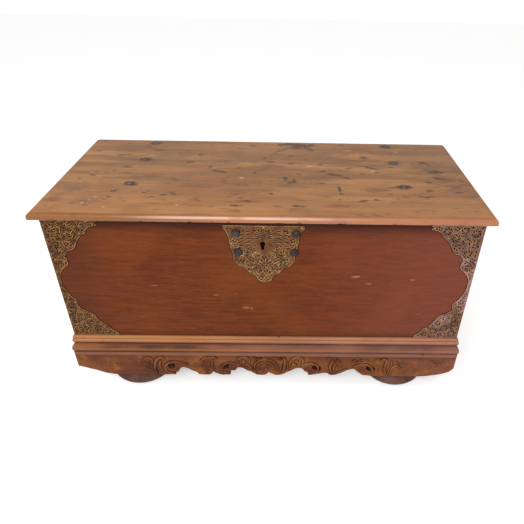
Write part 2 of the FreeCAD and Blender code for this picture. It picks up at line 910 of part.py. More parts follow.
def lock_staple():
    """A loop under its plate, with the eye that the lock bolt passes through."""
    x0 = escutcheon_x - staple_thick / 2
    x1 = escutcheon_x + staple_thick / 2
    loop = block(x0, x1, latch_y - staple_half_y, latch_y + staple_half_y, staple_low, lid_under)
    eye_y = latch_wide / 2 + latch_gap
    eye_z = latch_tall / 2 + latch_gap
    eye = block(x0, x1, latch_y - eye_y, latch_y + eye_y, staple_eye_z - eye_z, staple_eye_z + eye_z)
    return staple_plate().fuse(loop).removeSplitter().cut(eye)


# ---- lid ----
def lid_section():
    """(in from the widest edge, up, rise) of the moulded edge, from the underside up."""
    step_z = lid_top - ovolo_step
    nose_z = step_z - ovolo_tall
    return [
        (nose_under, lid_under, 0),
        (0.0, nose_z - nose_flat, 2.4),
        (0.0, nose_z, 0),
        (ovolo_wide, step_z, 2.6),
        (ovolo_wide + ovolo_step, step_z, 0),
        (ovolo_wide + ovolo_step, lid_top, 0),
    ]


def lid_blank():
    edge = front - lid_overhang
    side = half_width + lid_overhang
    along = [(edge + inn, up, rise) for inn, up, rise in lid_section()]
    along = along + [(back, lid_top, 0), (back, lid_under, 0)]
    deep = drawn_face(along, on_end).extrude(V(2 * side, 0, 0))
    deep.translate(V(-side, 0, 0))
    right = [(side - inn, up, -rise) for inn, up, rise in lid_section()]
    left = []
    rises = [0] + [point[2] for point in reversed(right)]
    for index, point in enumerate(reversed(right)):
        left.append((-point[0], point[1], rises[index]))
    wide = drawn_face(right + left, on_front).extrude(V(0, back - edge, 0))
    wide.translate(V(0, edge, 0))
    return deep.common(wide)


def rivet_places():
    return [(side * hinge_x, front + y) for side in (-1, 1) for y in rivet_from_front]


def rivet_holes(low, high):
    half = nail_square / 2 + shank_gap
    return [block(x - half, x + half, y - half, y + half, low, high) for x, y in rivet_places()]


def lid_board():
    return lid_blank().cut([staple_plate()] + rivet_holes(lid_under, lid_top))


# ---- hinges ----
def strap_outline():
    """Plan of one strap about its own centre line, tapering to a rounded tip."""
    half = strap_wide / 2
    tip = strap_tip_wide / 2
    tip_y = front + strap_tip_y
    return [
        (-half, back, 0),
        (-tip * 0.8, tip_y + 2.6 * tip, 0),
        (-tip, tip_y + tip, 1.5),
        (tip, tip_y + tip, -tip),
        (tip * 0.8, tip_y + 2.6 * tip, 1.5),
        (half, back, 0),
    ]


def hinge_eye(x, width):
    """A forged eye round the hinge axis, from x to the right."""
    eye = flat(ring(eye_radius, eye_flats, (hinge_y, hinge_z), on_end)).extrude(V(width, 0, 0))
    eye.translate(V(x, 0, 0))
    return eye


def hinge_strap(x):
    low = lid_under - strap_thick
    strap = drawn_face(strap_outline(), on_plan).extrude(V(0, 0, strap_thick))
    strap.translate(V(x, 0, low))
    half = strap_eye_width / 2
    tongue = block(x - half, x + half, back, hinge_y, low, lid_under)
    eye = hinge_eye(x - half, strap_eye_width)
    hole = rod(eye_hole, strap_eye_width, V(x - half, hinge_y, hinge_z), V(1, 0, 0))
    shaped = strap.fuse([tongue, eye]).removeSplitter().cut(hole)
    return shaped.cut(rivet_holes(low, lid_under))


def hinge_leaf(x):
    """The leaf nailed to the back board, with an eye each side of the strap's eye."""
    half = strap_wide / 2
    inner = strap_eye_width / 2 + eye_side_gap
    plate = block(x - half, x + half, back, back + leaf_thick, hinge_z - leaf_height, hinge_z)
    eyes = [hinge_eye(x - half, half - inner), hinge_eye(x + inner, half - inner)]
    leaf = plate.fuse(eyes).removeSplitter()
    gap = block(x - inner, x + inner, back, hinge_y + eye_radius, hinge_z - eye_radius - eye_side_gap,
                hinge_z + eye_radius)
    hole = rod(hinge_pin_radius, strap_wide, V(x - half, hinge_y, hinge_z), V(1, 0, 0))
    return leaf.cut([gap, hole] + nail_holes(back, back + leaf_thick))


def hinge_pin(x):
    """A round pin through the five eyes, its ends riveted over to small heads."""
    half = strap_wide / 2
    body = rod(hinge_pin_radius, strap_wide, V(x - half, hinge_y, hinge_z), V(1, 0, 0))
    head = flat(ring(hinge_pin_radius + pin_head_lip, flats, (hinge_y, hinge_z), on_end))
    left_head = head.extrude(V(-pin_head_thick, 0, 0))
    right_head = head.extrude(V(pin_head_thick, 0, 0))
    left_head.translate(V(x - half, 0, 0))
    right_head.translate(V(x + half, 0, 0))
    return body.fuse([left_head, right_head]).removeSplitter()


def hinge_rivets():
    rivets = []
    for x, y in rivet_places():
        rivet = rose_nail(rivet_head_radius, rivet_head_height, lid_thick + strap_thick)
        rivet.translate(V(x, y, lid_top))
        rivets.append(rivet)
    return Part.makeCompound(rivets)


def hinge_nails():
    nails = []
    for x, z in nail_places():
        nail = rose_nail(nail_head_radius, nail_head_height, leaf_thick + board)
        nails.append(placed(nail, V(0, 1, 0), V(x, back + leaf_thick, z)))
    return Part.makeCompound(nails)


# ---- end handles, drawn on the right end ----
def handle_plate_right():
    """A forged iron plate: a narrow bar that spreads to a pointed lobe behind each post."""
    half = post_spread / 2
    lobe = plate_height / 2
    waist = lobe * 0.5
    outline = [
        (half - lobe, waist),
        (half - lobe * 0.45, lobe),
        (half + lobe * 0.45, lobe),
        (half + lobe, waist * 0.7),
        (half + lobe, -waist * 0.7),
        (half + lobe * 0.45, -lobe),
        (half - lobe * 0.45, -lobe),
        (half - lobe, -waist),
    ]
    corners = [(middle_y + across, handle_z + up, 0) for across, up in outline]
    corners = corners + [(middle_y - across, handle_z + up, 0) for across, up in reversed(outline)]
    plate = drawn_face(corners, on_end).extrude(V(plate_thick, 0, 0))
    plate.translate(V(half_width, 0, 0))
    return plate.cut(post_holes(half_width, half_width + plate_thick))


def handle_posts_right():
    """Two eye posts: a shank through plate and board, and an eye that the bail turns in."""
    half = post_square / 2
    bore = journal_radius + running_gap
    shank_end = handle_x - (bore + post_radius) / 2
    posts = []
    for y in post_places():
        near = y - post_width / 2
        shank = block(half_width - board, shank_end, y - half, y + half, handle_z - half, handle_z + half)
        eye = flat(ring(post_radius, flats, (handle_x, handle_z), on_front)).extrude(V(0, post_width, 0))
        eye.translate(V(0, near, 0))
        hole = rod(bore, post_width, V(handle_x, near, handle_z), V(0, 1, 0))
        posts.append(shank.fuse(eye).removeSplitter().cut(hole))
    return Part.makeCompound(posts)


def bail_rings():
    """Rings of the bail's forged bar, from the top of one leg round to the top of the other."""
    leg = bail_leg_spread / 2
    straight = leg - bail_corner
    low = handle_z - bail_drop
    half_grip = min(grip_length / 2, straight)
    path = [(middle_y - leg, handle_z - bail_radius, 0.0, bail_radius)]
    for step in range(bail_bends + 1):
        turn = math.pi / 2 * step / bail_bends
        y = middle_y - straight - bail_corner * math.cos(turn)
        path.append((y, low + bail_corner * (1 - math.sin(turn)), turn, bail_radius))
    path.append((middle_y - half_grip / 2, low, math.pi / 2, grip_radius))
    path = path + [(2 * middle_y - y, z, math.pi - turn, r) for y, z, turn, r in reversed(path)]
    rings = []
    for y, z, turn, radius in path:
        centre = V(handle_x, y, z)
        across = V(0, math.cos(turn), math.sin(turn))
        section = ring(radius, flats, (0, 0), on_plan)
        rings.append([centre + V(point.x, 0, 0) + across * point.y for point in section])
    return rings


def handle_bail_right():
    """A forged bar bent into a loop; square shoulders carry round journals, headed outside the eyes."""
    half = bail_radius
    pieces = []
    for side in (-1, 1):
        leg_y = middle_y + side * bail_leg_spread / 2
        shoulder_y = leg_y + side * half
        outer_y = middle_y + side * (post_spread / 2 + post_width / 2 + bail_side_gap)
        length = abs(outer_y - shoulder_y)
        pieces.append(block(handle_x - half, handle_x + half, leg_y - half, leg_y + half,
                            handle_z - half, handle_z + half))
        pieces.append(rod(journal_radius, length, V(handle_x, shoulder_y, handle_z), V(0, side, 0)))
        head = flat(ring(journal_head_radius, flats, (handle_x, handle_z), on_front))
        head = head.extrude(V(0, side * journal_head, 0))
        head.translate(V(0, outer_y, 0))
        pieces.append(head)
    return skinned(bail_rings()).fuse(pieces).removeSplitter()


# ---- build every node ----
os.makedirs("parts", exist_ok=True)

save(front_board(), "front_board")
save(back_board(), "back_board")
right_end = end_board_right()
save(right_end, "end_board_right")
save(mirrored(right_end), "end_board_left")
near_plank, far_plank = bottom_planks()
save(near_plank, "bottom_plank_front")
save(far_plank, "bottom_plank_back")

save(moulding_front(), "plinth_moulding_front")
right_moulding = moulding_right()
save(right_moulding, "plinth_moulding_right")
save(mirrored(right_moulding), "plinth_moulding_left")
save(apron_front(), "apron_front")
right_apron = apron_right()
save(right_apron, "apron_right")
save(mirrored(right_apron), "apron_left")
save(base_rail_back(), "base_rail_back")
for ending, foot_x, foot_y in foot_places():
    save(corner_block(ending, foot_x, foot_y), "corner_block_" + ending)
    save(foot(foot_x, foot_y), "foot_" + ending)

right_mount = corner_mount_right()
save(right_mount, "corner_mount_right")
save(mirrored(right_mount), "corner_mount_left")
right_pins = corner_pins_right()
save(right_pins, "corner_pins_right")
save(mirrored(right_pins), "corner_pins_left")
save(escutcheon(), "escutcheon")
save(escutcheon_pins(), "escutcheon_pins")
save(escutcheon_bolts(), "escutcheon_bolts")

save(lock_plate(), "lock_plate")
save(lock_case(), "lock_case")
save(lock_guides(), "lock_guides")
save(lock_spring(), "lock_spring")
save(lock_bolt(), "lock_bolt")
save(lock_staple(), "lock_staple")

save(lid_board(), "lid_board")
save(hinge_rivets(), "hinge_rivets")
save(hinge_nails(), "hinge_nails")
for side, side_x in (("left", -hinge_x), ("right", hinge_x)):
    save(hinge_strap(side_x), "hinge_strap_" + side)
    save(hinge_leaf(side_x), "hinge_leaf_" + side)
    save(hinge_pin(side_x), "hinge_pin_" + side)

right_plate = handle_plate_right()
save(right_plate, "handle_plate_right")
save(mirrored(right_plate), "handle_plate_left")
right_posts = handle_posts_right()
save(right_posts, "handle_posts_right")
save(mirrored(right_posts), "handle_posts_left")
right_bail = handle_bail_right()
save(right_bail, "handle_bail_right")
save(mirrored(right_bail), "handle_bail_left")
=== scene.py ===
# %% [markdown]
# # A carved blanket chest with pierced brass
#
# The construction of the chest is already packed: boards, mouldings, hinges, lock and handles stand
# at their real size in one frame. This lesson gives them their looks. It goes piece by piece, first
# the wood, then the brass and the iron, and each finish is built from shader nodes.

# %% Load the frame
import json
import math
import random

import bmesh
import bpy
import numpy as np
from mathutils import Matrix, Vector


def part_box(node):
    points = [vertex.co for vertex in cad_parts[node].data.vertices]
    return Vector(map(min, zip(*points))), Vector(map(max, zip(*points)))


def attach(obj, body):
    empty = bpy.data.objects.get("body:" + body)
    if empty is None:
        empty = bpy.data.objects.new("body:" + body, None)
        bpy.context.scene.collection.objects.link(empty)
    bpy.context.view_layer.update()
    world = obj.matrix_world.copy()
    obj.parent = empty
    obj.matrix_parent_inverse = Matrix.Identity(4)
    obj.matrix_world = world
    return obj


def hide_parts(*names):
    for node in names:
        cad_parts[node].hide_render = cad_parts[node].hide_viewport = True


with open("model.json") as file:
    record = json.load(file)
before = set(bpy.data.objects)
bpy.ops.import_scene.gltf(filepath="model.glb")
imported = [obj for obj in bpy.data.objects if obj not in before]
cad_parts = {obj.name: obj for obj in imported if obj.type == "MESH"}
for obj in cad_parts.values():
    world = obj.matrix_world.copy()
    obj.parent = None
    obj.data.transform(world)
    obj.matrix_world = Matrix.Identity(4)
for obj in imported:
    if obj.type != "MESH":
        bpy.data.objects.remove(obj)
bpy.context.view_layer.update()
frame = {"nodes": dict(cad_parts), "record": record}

MM = 0.001
scene = bpy.context.scene

# %% [markdown]
# The sizes that the pieces share are read from the packed nodes, so a new pack moves the looks with
# it. Lengths are in metres, because that is Blender's unit. Small details and the tables of marks and
# strokes are in millimetres, and MM turns them into metres.

# %% Sizes that the pieces share
lid_low, lid_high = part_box("lid_board")
front_low, front_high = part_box("front_board")
moulding_low, moulding_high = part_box("plinth_moulding_front")
apron_low, apron_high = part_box("apron_front")
face_y = front_low.y                  # the front board's outer face
half_width = front_high.x             # the carcass ends at plus and minus this
back_y = lid_high.y
print("front face at y", round(face_y, 4), "half width", round(half_width, 4))

# %% [markdown]
# ## The camera
#
# The chest is seen from above, nearly straight on, with a normal lens. The lens carries a small shift,
# because the middle of the frame is not where the lens points. Yaw, pitch and roll are turned into the
# three axes of the camera: right, up and backwards.

# %% Camera
CAMERA_PLACE = Vector((0.0639, -1.4708, 1.2649))
YAW, PITCH, ROLL = 0.021744, 0.605961, 0.023648   # radians: to the right, downwards, clockwise

level_right = Vector((math.cos(YAW), -math.sin(YAW), 0))
forward = Vector((math.sin(YAW) * math.cos(PITCH), math.cos(YAW) * math.cos(PITCH), -math.sin(PITCH)))
level_up = level_right.cross(forward)
right = level_right * math.cos(ROLL) + level_up * math.sin(ROLL)
up = level_up * math.cos(ROLL) - level_right * math.sin(ROLL)

lens = bpy.data.cameras.new("camera")
lens.lens = 33.84
lens.sensor_width = 36
lens.shift_x, lens.shift_y = -0.0655, 0.0336
camera = bpy.data.objects.new("camera", lens)
camera.matrix_world = Matrix.Translation(CAMERA_PLACE) @ Matrix((right, up, -forward)).transposed().to_4x4()
scene.collection.objects.link(camera)
scene.camera = camera
print("camera", round((CAMERA_PLACE - Vector((0, face_y, 0.4))).length, 2), "m from the front")

# %% [markdown]
# ## A helper for shader nodes
#
# A node tree reads best when a node, its settings and what goes into it stand on one line. `Nodes`
# adds nodes to one tree. A value may be a number, a colour or another node's output. The method that
# every finish uses most is `paints`: it lays one paint after the other over a colour, each through
# its own mask. `paint` turns a colour as a screen shows it, from 0 to 255, into the linear light that
# a shader works in.

# %% Node helpers


def paint(red, green, blue):
    linear = [c / 12.92 if c <= 0.04045 else ((c + 0.055) / 1.055) ** 2.4
              for c in (red / 255, green / 255, blue / 255)]
    return (*linear, 1.0)


class Nodes:
    """Adds nodes to one tree."""

    def __init__(self, tree):
        self.tree = tree

    def join(self, socket, value):
        if isinstance(value, bpy.types.NodeSocket):
            self.tree.links.new(value, socket)
        else:
            socket.default_value = value

    def put(self, kind, inputs=None, **settings):
        node = self.tree.nodes.new("ShaderNode" + kind)
        for name, value in settings.items():
            setattr(node, name, value)
        for name, value in (inputs or {}).items():
            self.join(node.inputs[name], value)
        return node

    def maths(self, operation, *values, clamp=False):
        return self.put("Math", dict(enumerate(values)), operation=operation, use_clamp=clamp).outputs[0]

    def times(self, first, second):
        return self.maths("MULTIPLY", first, second)

    def vector(self, operation, *values):
        return self.put("VectorMath", dict(enumerate(values)), operation=operation).outputs[0]

    def axes(self, place):
        return self.put("SeparateXYZ", {0: place}).outputs[:3]

    def noise(self, vector, scale, detail=2.0, distortion=0.0):
        return self.put("TexNoise", {"Vector": vector, "Scale": scale, "Detail": detail,
                                     "Distortion": distortion}).outputs[0]

    def ease(self, value, low, high, to_low=0.0, to_high=1.0):
        """Goes smoothly from to_low, where the value is low, to to_high, where it is high."""
        return self.put("MapRange", dict(enumerate((value, low, high, to_low, to_high))),
                        interpolation_type="SMOOTHSTEP").outputs[0]

    def patches(self, vector, scale, detail, low, high, distortion=0.0):
        """Noise with its slopes cut to the stretch from low to high: soft-edged patches."""
        return self.ease(self.noise(vector, scale, detail, distortion), low, high)

    def painted(self, attribute):
        return self.put("Attribute", attribute_name=attribute).outputs["Fac"]

    def blend(self, share, first, second, mode="MIX"):
        return self.put("Mix", {0: share, 6: first, 7: second}, data_type="RGBA", blend_type=mode,
                        clamp_factor=True).outputs[2]

    def paints(self, colour, *rows):
        """A row is a mask, its strength and a paint's red, green and blue."""
        for mask, strength, tint in rows:
            colour = self.blend(self.times(mask, strength), colour, paint(*tint))
        return colour

    def use(self, group, inputs):
        return self.put("Group", inputs, node_tree=group).outputs


print("a mid brown in linear light:", [round(c, 3) for c in paint(110, 55, 30)])

# %% [markdown]
# What more than one material uses, such as grain, tarnish or the shape of a mark, becomes a node
# group, which is built once and placed in each. A material is begun here too: every one needs its
# shader's inputs and the place on the object, in metres, that its patterns are drawn on.

# %% Beginning a group and a finish


def new_group(name, inputs, outputs):
    """A shader node group. Returns its Nodes, what it is given and its output node."""
    group = bpy.data.node_groups.new(name, "ShaderNodeTree")
    for label, kind, value in inputs:
        socket = group.interface.new_socket(label, in_out="INPUT", socket_type="NodeSocket" + kind)
        if value is not None:
            socket.default_value = value
    for label in outputs:
        group.interface.new_socket(label, in_out="OUTPUT", socket_type="NodeSocketFloat")
    entry = group.nodes.new("NodeGroupInput")
    return Nodes(group), entry.outputs, group.nodes.new("NodeGroupOutput")


def new_finish(name, specular):
    """A material. Returns it with its Nodes, its shader's inputs and the place on the object."""
    finish = bpy.data.materials.new(name)
    finish.use_nodes = True
    add = Nodes(finish.node_tree)
    shader = finish.node_tree.nodes["Principled BSDF"].inputs
    shader["Specular IOR Level"].default_value = specular
    return finish, add, shader, add.put("TexCoord").outputs["Object"]


print("new_group and new_finish are ready")

# %% [markdown]
# ## Floor, white room and lamps
#
# The chest stands on a plain pale floor. The floor is white paint, and rays from the camera also see
# it glow a little, so that it clears to white around the chest but keeps the soft shadow beneath it.
# The sky is plain white to the camera, and dimmer as a light and in reflections, because the sheen of
# a pure white sky would lie on the dark polished wood like a veil.

# %% Floor and world
FLOOR_GLOW = 0.42        # how much of the white the floor gives out by itself
SKY_STRENGTH = 0.62      # the sky as a light; the camera sees it at 1


def make_floor():
    floor_mesh = bmesh.new()
    bmesh.ops.create_grid(floor_mesh, x_segments=8, y_segments=8, size=9)
    mesh = bpy.data.meshes.new("floor")
    floor_mesh.to_mesh(mesh)
    floor_mesh.free()
    finish, add, shader, place = new_finish("floor_paint", 0.1)
    mottled = add.blend(add.noise(place, 2.5, 3), paint(238, 238, 238), paint(243, 243, 243))
    add.join(shader["Base Color"], mottled)
    shader["Roughness"].default_value = 0.9
    shader["Emission Color"].default_value = (1, 1, 1, 1)
    rays = add.put("LightPath").outputs
    shiny = add.maths("ADD", rays["Is Glossy Ray"], rays["Is Transmission Ray"])
    seen_directly = add.maths("ADD", rays["Is Camera Ray"], shiny, clamp=True)
    add.join(shader["Emission Strength"], add.times(seen_directly, FLOOR_GLOW))
    mesh.materials.append(finish)
    floor = bpy.data.objects.new("floor", mesh)
    scene.collection.objects.link(floor)


def make_world():
    world = bpy.data.worlds.new("soft_white_room")
    world.use_nodes = True
    add = Nodes(world.node_tree)
    sky = world.node_tree.nodes["Background"].inputs
    sky["Color"].default_value = (1, 1, 1, 1)
    rays = add.put("LightPath").outputs
    seen = add.maths("ADD", rays["Is Camera Ray"], rays["Is Transmission Ray"], clamp=True)
    add.join(sky["Strength"], add.ease(seen, 0, 1, SKY_STRENGTH, 1.0))
    scene.world = world


make_floor()
make_world()
scene.view_settings.view_transform = "Standard"
print("floor and world are ready")

# %% [markdown]
# One broad lamp stands in front and above, and a second one fills from the left, as windows would.

# %% Lamps
CHEST_MIDDLE = Vector((0, 0, 0.4))


def make_lamp(name, place, size, watts):
    data = bpy.data.lights.new(name, "AREA")
    data.shape = "RECTANGLE"
    data.size, data.size_y = size
    data.energy = watts
    lamp = bpy.data.objects.new(name, data)
    lamp.location = place
    lamp.rotation_euler = (CHEST_MIDDLE - Vector(place)).to_track_quat("-Z", "Y").to_euler()
    scene.collection.objects.link(lamp)
    print(name, "at", place)


make_lamp("window_front", (-0.5, -2.6, 2.3), (2.4, 1.5), 62)
make_lamp("window_left", (-2.7, -0.6, 2.2), (1.6, 1.6), 20)

# %% [markdown]
# ## Wood
#
# Old chests of this kind are made of teak, cut along the grain. Three things make wood look like
# wood: slow bands of lighter and darker growth, fine fibres that run with the board, and short dark
# pores. All three are noise, stretched far along the grain. The group below gives them out, together
# with a height for the bump, and each wooden finish places it with its own colours.

# %% Group: wood grain
GRAIN_LAYERS = (         # stretch, scale and detail of the noise, then where the mask starts and ends
    ((1.0, 9.0, 9.0), 2.6, 4.0, 0.32, 0.68), ((2.5, 130.0, 130.0), 1.6, 3.0, 0.3, 0.7),
    ((16.0, 300.0, 300.0), 1.7, 1.0, 0.62, 0.7))


def make_wood_grain():
    outputs = ("Figure", "Fibre", "Pores", "Height")
    add, given, result = new_group("wood_grain", [("Vector", "Vector", None), ("Figure Scale", "Float", 1.0)],
                                   outputs)
    along = add.put("VectorMath", {0: given["Vector"], "Scale": given["Figure Scale"]},
                    operation="SCALE").outputs[0]
    sway = add.put("TexNoise", {"Vector": along, "Scale": 2.3, "Detail": 2.0}).outputs["Color"]
    swayed = add.vector("MULTIPLY_ADD", sway, (0.0, 0.05, 0.05), along)
    figure, fibre, pores = [add.patches(add.vector("MULTIPLY", swayed, stretch), scale, detail, low, high)
                            for stretch, scale, detail, low, high in GRAIN_LAYERS]
    height = add.maths("MULTIPLY_ADD", fibre, 0.35, add.times(pores, -0.8))
    for label, value in zip(outputs, (figure, fibre, pores, height)):
        add.join(result.inputs[label], value)
    return add.tree


wood_grain = make_wood_grain()
print("wood_grain gives", [s.name for s in wood_grain.interface.items_tree if s.in_out == "OUTPUT"])

# %% [markdown]
# A second group draws one mark: a scratch or a bare patch. A mark is an ellipse round a centre,
# turned and bent, with a soft and ragged edge. It works in the X and Y of the vector that it is
# given, so an upright face first swaps its axes.

# %% Group: one mark
MARK_SOFT, MARK_RAGGED = 0.8, 0.5


def make_mark_group():
    add, given, result = new_group(
        "mark", [("Vector", "Vector", None), ("Centre", "Vector", None), ("Turn", "Float", 0.0),
                 ("Half Length", "Float", 0.01), ("Half Width", "Float", 0.005), ("Bend", "Float", 0.0)],
        ["Mask"])
    moved = add.vector("SUBTRACT", given["Vector"], given["Centre"])
    turned = add.put("VectorRotate", {"Vector": moved, "Angle": given["Turn"]}, rotation_type="Z_AXIS")
    x, y = add.axes(turned.outputs[0])[:2]
    across = add.maths("ADD", y, add.times(add.times(x, x), given["Bend"]))
    far_x = add.maths("POWER", add.maths("DIVIDE", x, given["Half Length"]), 2.0)
    far_y = add.maths("POWER", add.maths("DIVIDE", across, given["Half Width"]), 2.0)
    far = add.maths("SQRT", add.maths("ADD", far_x, far_y))
    rough = add.maths("SUBTRACT", add.noise(given["Vector"], 70.0, 4.0), 0.5)
    edge = add.maths("MULTIPLY_ADD", rough, 3.0 * MARK_RAGGED, far)
    add.join(result.inputs["Mask"], add.ease(edge, 1.0 - MARK_SOFT, 1.0, 1.0, 0.0))
    return add.tree


mark_group = make_mark_group()


def whole_row(row):
    """A row of a mark is x, y, half length, half width, turn, bend: mm and degrees. The last two may lack."""
    return (*row, 0, 0)[:6]


def marks(add, vector, rows):
    """The brightest of several marks."""
    total = 0.0
    for x, y, long, wide, turn, bend in map(whole_row, rows):
        mask = add.use(mark_group, {
            "Vector": vector, "Centre": (x * MM, y * MM, 0), "Turn": math.radians(-turn),
            "Half Length": long * MM, "Half Width": wide * MM, "Bend": bend})["Mask"]
        total = add.maths("MAXIMUM", total, mask)
    return total


print("a row of four numbers becomes", whole_row((1, 2, 3, 4)))

# %% [markdown]
# A wooden finish has four steps: read the place on the piece, turn it so that X runs with the grain,
# mix the colours, and set gloss and bump. What one board has and another has not, such as stains, is
# added by a function of its own, which gets the colour, height and roughness so far and returns them
# changed.

# %% Function: a wooden finish
FIBRE_SHADE = (150, 128, 118)         # what the fibres and pores multiply the colour with


def wood_finish(name, dark, light, grain_along_y=False, upright=False, scale=1.0, gloss=0.42, extra=None,
                fibre_depth=0.35, shine=0.25):
    finish, add, shader, place = new_finish(name, shine)
    quarter = math.radians(90)
    turn = (0, 0, quarter) if grain_along_y else (0, quarter, 0) if upright else (0, 0, 0)
    cut_from = (0.37 * len(name), 0.11, 0.23)        # each finish is cut from another part of the tree
    along = add.put("Mapping", {"Vector": place, "Rotation": turn, "Location": cut_from}).outputs[0]
    grain = add.use(wood_grain, {"Vector": along, "Figure Scale": scale})
    colour = add.blend(grain["Figure"], paint(*dark), paint(*light))
    deeper = add.blend(1.0, colour, paint(*FIBRE_SHADE), "MULTIPLY")
    colour = add.blend(add.times(grain["Fibre"], fibre_depth), colour, deeper)
    colour = add.blend(add.times(grain["Pores"], 0.5), colour, deeper)
    height = grain["Height"]
    rough = add.maths("MULTIPLY_ADD", add.noise(place, 9.0, 3), 0.22, gloss - 0.08)
    if extra:
        colour, height, rough = extra(add, place, colour, height, rough)
    add.join(shader["Base Color"], colour)
    add.join(shader["Roughness"], rough)
    bump = add.put("Bump", {"Height": height, "Strength": 0.35, "Distance": 0.4 * MM})
    add.join(shader["Normal"], bump.outputs[0])
    return finish


print("wood_finish is ready")

# %% [markdown]
# ## Boards with eased edges
#
# A real board never ends in a knife edge: the plane breaks every arris, and two centuries of hands
# round it further. `make_piece` turns a bmesh into an object that rides on its body. `eased` copies a
# CAD node, merges its loose triangles into whole faces and bevels the sharp edges a little. The
# bevelled faces are marked in an attribute named worn, which the metal finishes rub bright.

# %% Functions: pieces and eased copies
PLANE_AREA = 0.0002      # a face larger than this, in square metres, is a plane and is shaded flat
SHARP = math.radians(40)                        # edges sharper than this are eased


def make_piece(name, shape, body, finish, slot, *replaced, crease=35):
    limit = math.radians(crease)
    for face in shape.faces:
        face.smooth = face.calc_area() < PLANE_AREA
    for edge in shape.edges:
        edge.smooth = len(edge.link_faces) == 2 and edge.calc_face_angle(0) < limit
    mesh = bpy.data.meshes.new(name)
    shape.to_mesh(mesh)
    shape.free()
    mesh.materials.append(finish)
    piece = bpy.data.objects.new(name, mesh)
    scene.collection.objects.link(piece)
    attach(piece, body)
    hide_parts(*replaced)
    print(name, len(mesh.polygons), "faces")
    return piece


def eased(node, body, finish, slot, width=0.8):
    shape = bmesh.new()
    shape.from_mesh(frame["nodes"][node].data)
    bmesh.ops.remove_doubles(shape, verts=shape.verts, dist=0.01 * MM)
    bmesh.ops.dissolve_limit(shape, angle_limit=math.radians(1), verts=shape.verts, edges=shape.edges)
    worn = shape.faces.layers.float.new("worn")
    arrises = [e for e in shape.edges if len(e.link_faces) == 2 and e.calc_face_angle(0) > SHARP]
    made = bmesh.ops.bevel(shape, geom=arrises, offset=width * MM, affect="EDGES", segments=2,
                           profile=0.5, material=-1, clamp_overlap=True)
    for face in made["faces"]:
        face[worn] = 1.0
    return make_piece(node + "_eased", shape, body, finish, slot, node)


print("edges sharper than", round(math.degrees(SHARP)), "degrees are eased")

# %% [markdown]
# The carcass is red-brown and polished outside, and was left raw inside, where it is paler and dry.
# The finish tells the two apart by position: inside the box of the four boards it is raw. The front
# has a few pale scratches. Under the lid it is painted darker, as painted shade from the lid's overhang
# and as dust. Towards the left end it is darker in patches, towards the right end it carries a
# painted pink reflection, and the wood round the keyhole is painted black as shade in the hole.

# %% Finish: carcass boards
INNER = 21.5 * MM        # the raw inside starts this far behind the outer faces
KEYHOLE = (-7.0, 558.0)  # x, z in mm; the wood round it is painted black, as painted shade in the hole
FRONT_SCRATCHES = (      # x, z, half length, half width, then turn and bend if any
    (265, 449, 19, 4.6, 2), (306, 424, 15, 2.6, -1), (435, 440, 12, 2.6), (-62, 332, 18, 1.8, 3, 6),
    (-60, 326, 20, 1.5, 2, 5), (-44, 327, 6, 3.0, -30), (-91, 382, 7, 1.1), (-151, 377, 9, 1.3, 4),
    (474, 312, 10, 0.8, 25, -9), (-330, 410, 20, 0.9, 1))


def inside_carcass(add, x, y):
    across = add.maths("LESS_THAN", add.maths("ABSOLUTE", x), half_width - INNER)
    behind = add.maths("GREATER_THAN", y, face_y + INNER)
    before = add.maths("LESS_THAN", y, back_y - INNER)
    return add.times(across, add.times(behind, before))


def carcass_extra(add, place, colour, height, rough):
    x, y, z = add.axes(place)
    top, foot = front_high.z, moulding_high.z
    cloud = add.noise(place, 4.5, 3)
    lines = add.vector("MULTIPLY", place, (4.0, 4.0, 60.0))
    # darker in cloudy patches towards the left end
    darker_left_end = add.times(add.ease(x, -0.44, -0.56), add.ease(cloud, 0.3, 0.6, 0.2, 0.55))
    upright = add.put("CombineXYZ", {0: x, 1: z}).outputs[0]
    scratches = add.times(marks(add, upright, FRONT_SCRATCHES), add.maths("LESS_THAN", y, face_y + 2 * MM))
    key_place = (KEYHOLE[0] * MM, (KEYHOLE[1] - 5) * MM, 0)
    from_key = add.put("VectorMath", {0: upright, 1: key_place}, operation="DISTANCE").outputs["Value"]
    in_front_board = add.maths("LESS_THAN", y, face_y + INNER + 2 * MM)
    colour = add.paints(
        colour, (add.ease(cloud, 0.45, 0.7), 0.45, (122, 62, 22)),
        # a painted pink reflection that grows towards the right end
        (add.ease(x, 0.0, 0.6), 0.55, (132, 70, 58)),
        (add.patches(lines, 9.0, 4, 0.46, 0.66), 0.22, (132, 78, 46)),
        (add.patches(lines, 6.4, 5, 0.5, 0.66), 0.3, (80, 38, 20)),
        # painted shade under the lid's overhang, with dust: darkest just below the lid
        (add.ease(z, top - 0.055, top - 0.006), 0.85, (40, 18, 13)),
        (add.ease(z, foot + 0.004, foot + 0.03, 1, 0), 0.35, (61, 29, 15)),
        (darker_left_end, 1.0, (66, 32, 22)), (scratches, 0.75, (190, 125, 85)),
        # painted shade in the keyhole: the wood round it is painted black
        (add.times(add.ease(from_key, 20 * MM, 14 * MM), in_front_board), 1.0, (22, 11, 7)))
    raw = inside_carcass(add, x, y)
    grown = add.patches(add.vector("MULTIPLY", place, (1.2, 1.2, 26.0)), 3.4, 6, 0.3, 0.7, 0.6)
    dry = add.paints(add.blend(grown, paint(134, 96, 66), paint(160, 120, 84)),
                     (add.patches(place, 3.2, 4, 0.52, 0.72), 0.5, (88, 60, 42)))
    colour = add.blend(add.times(raw, 0.85), colour, dry)
    return colour, add.maths("SUBTRACT", height, scratches), add.maths("MULTIPLY_ADD", raw, 0.3, rough)


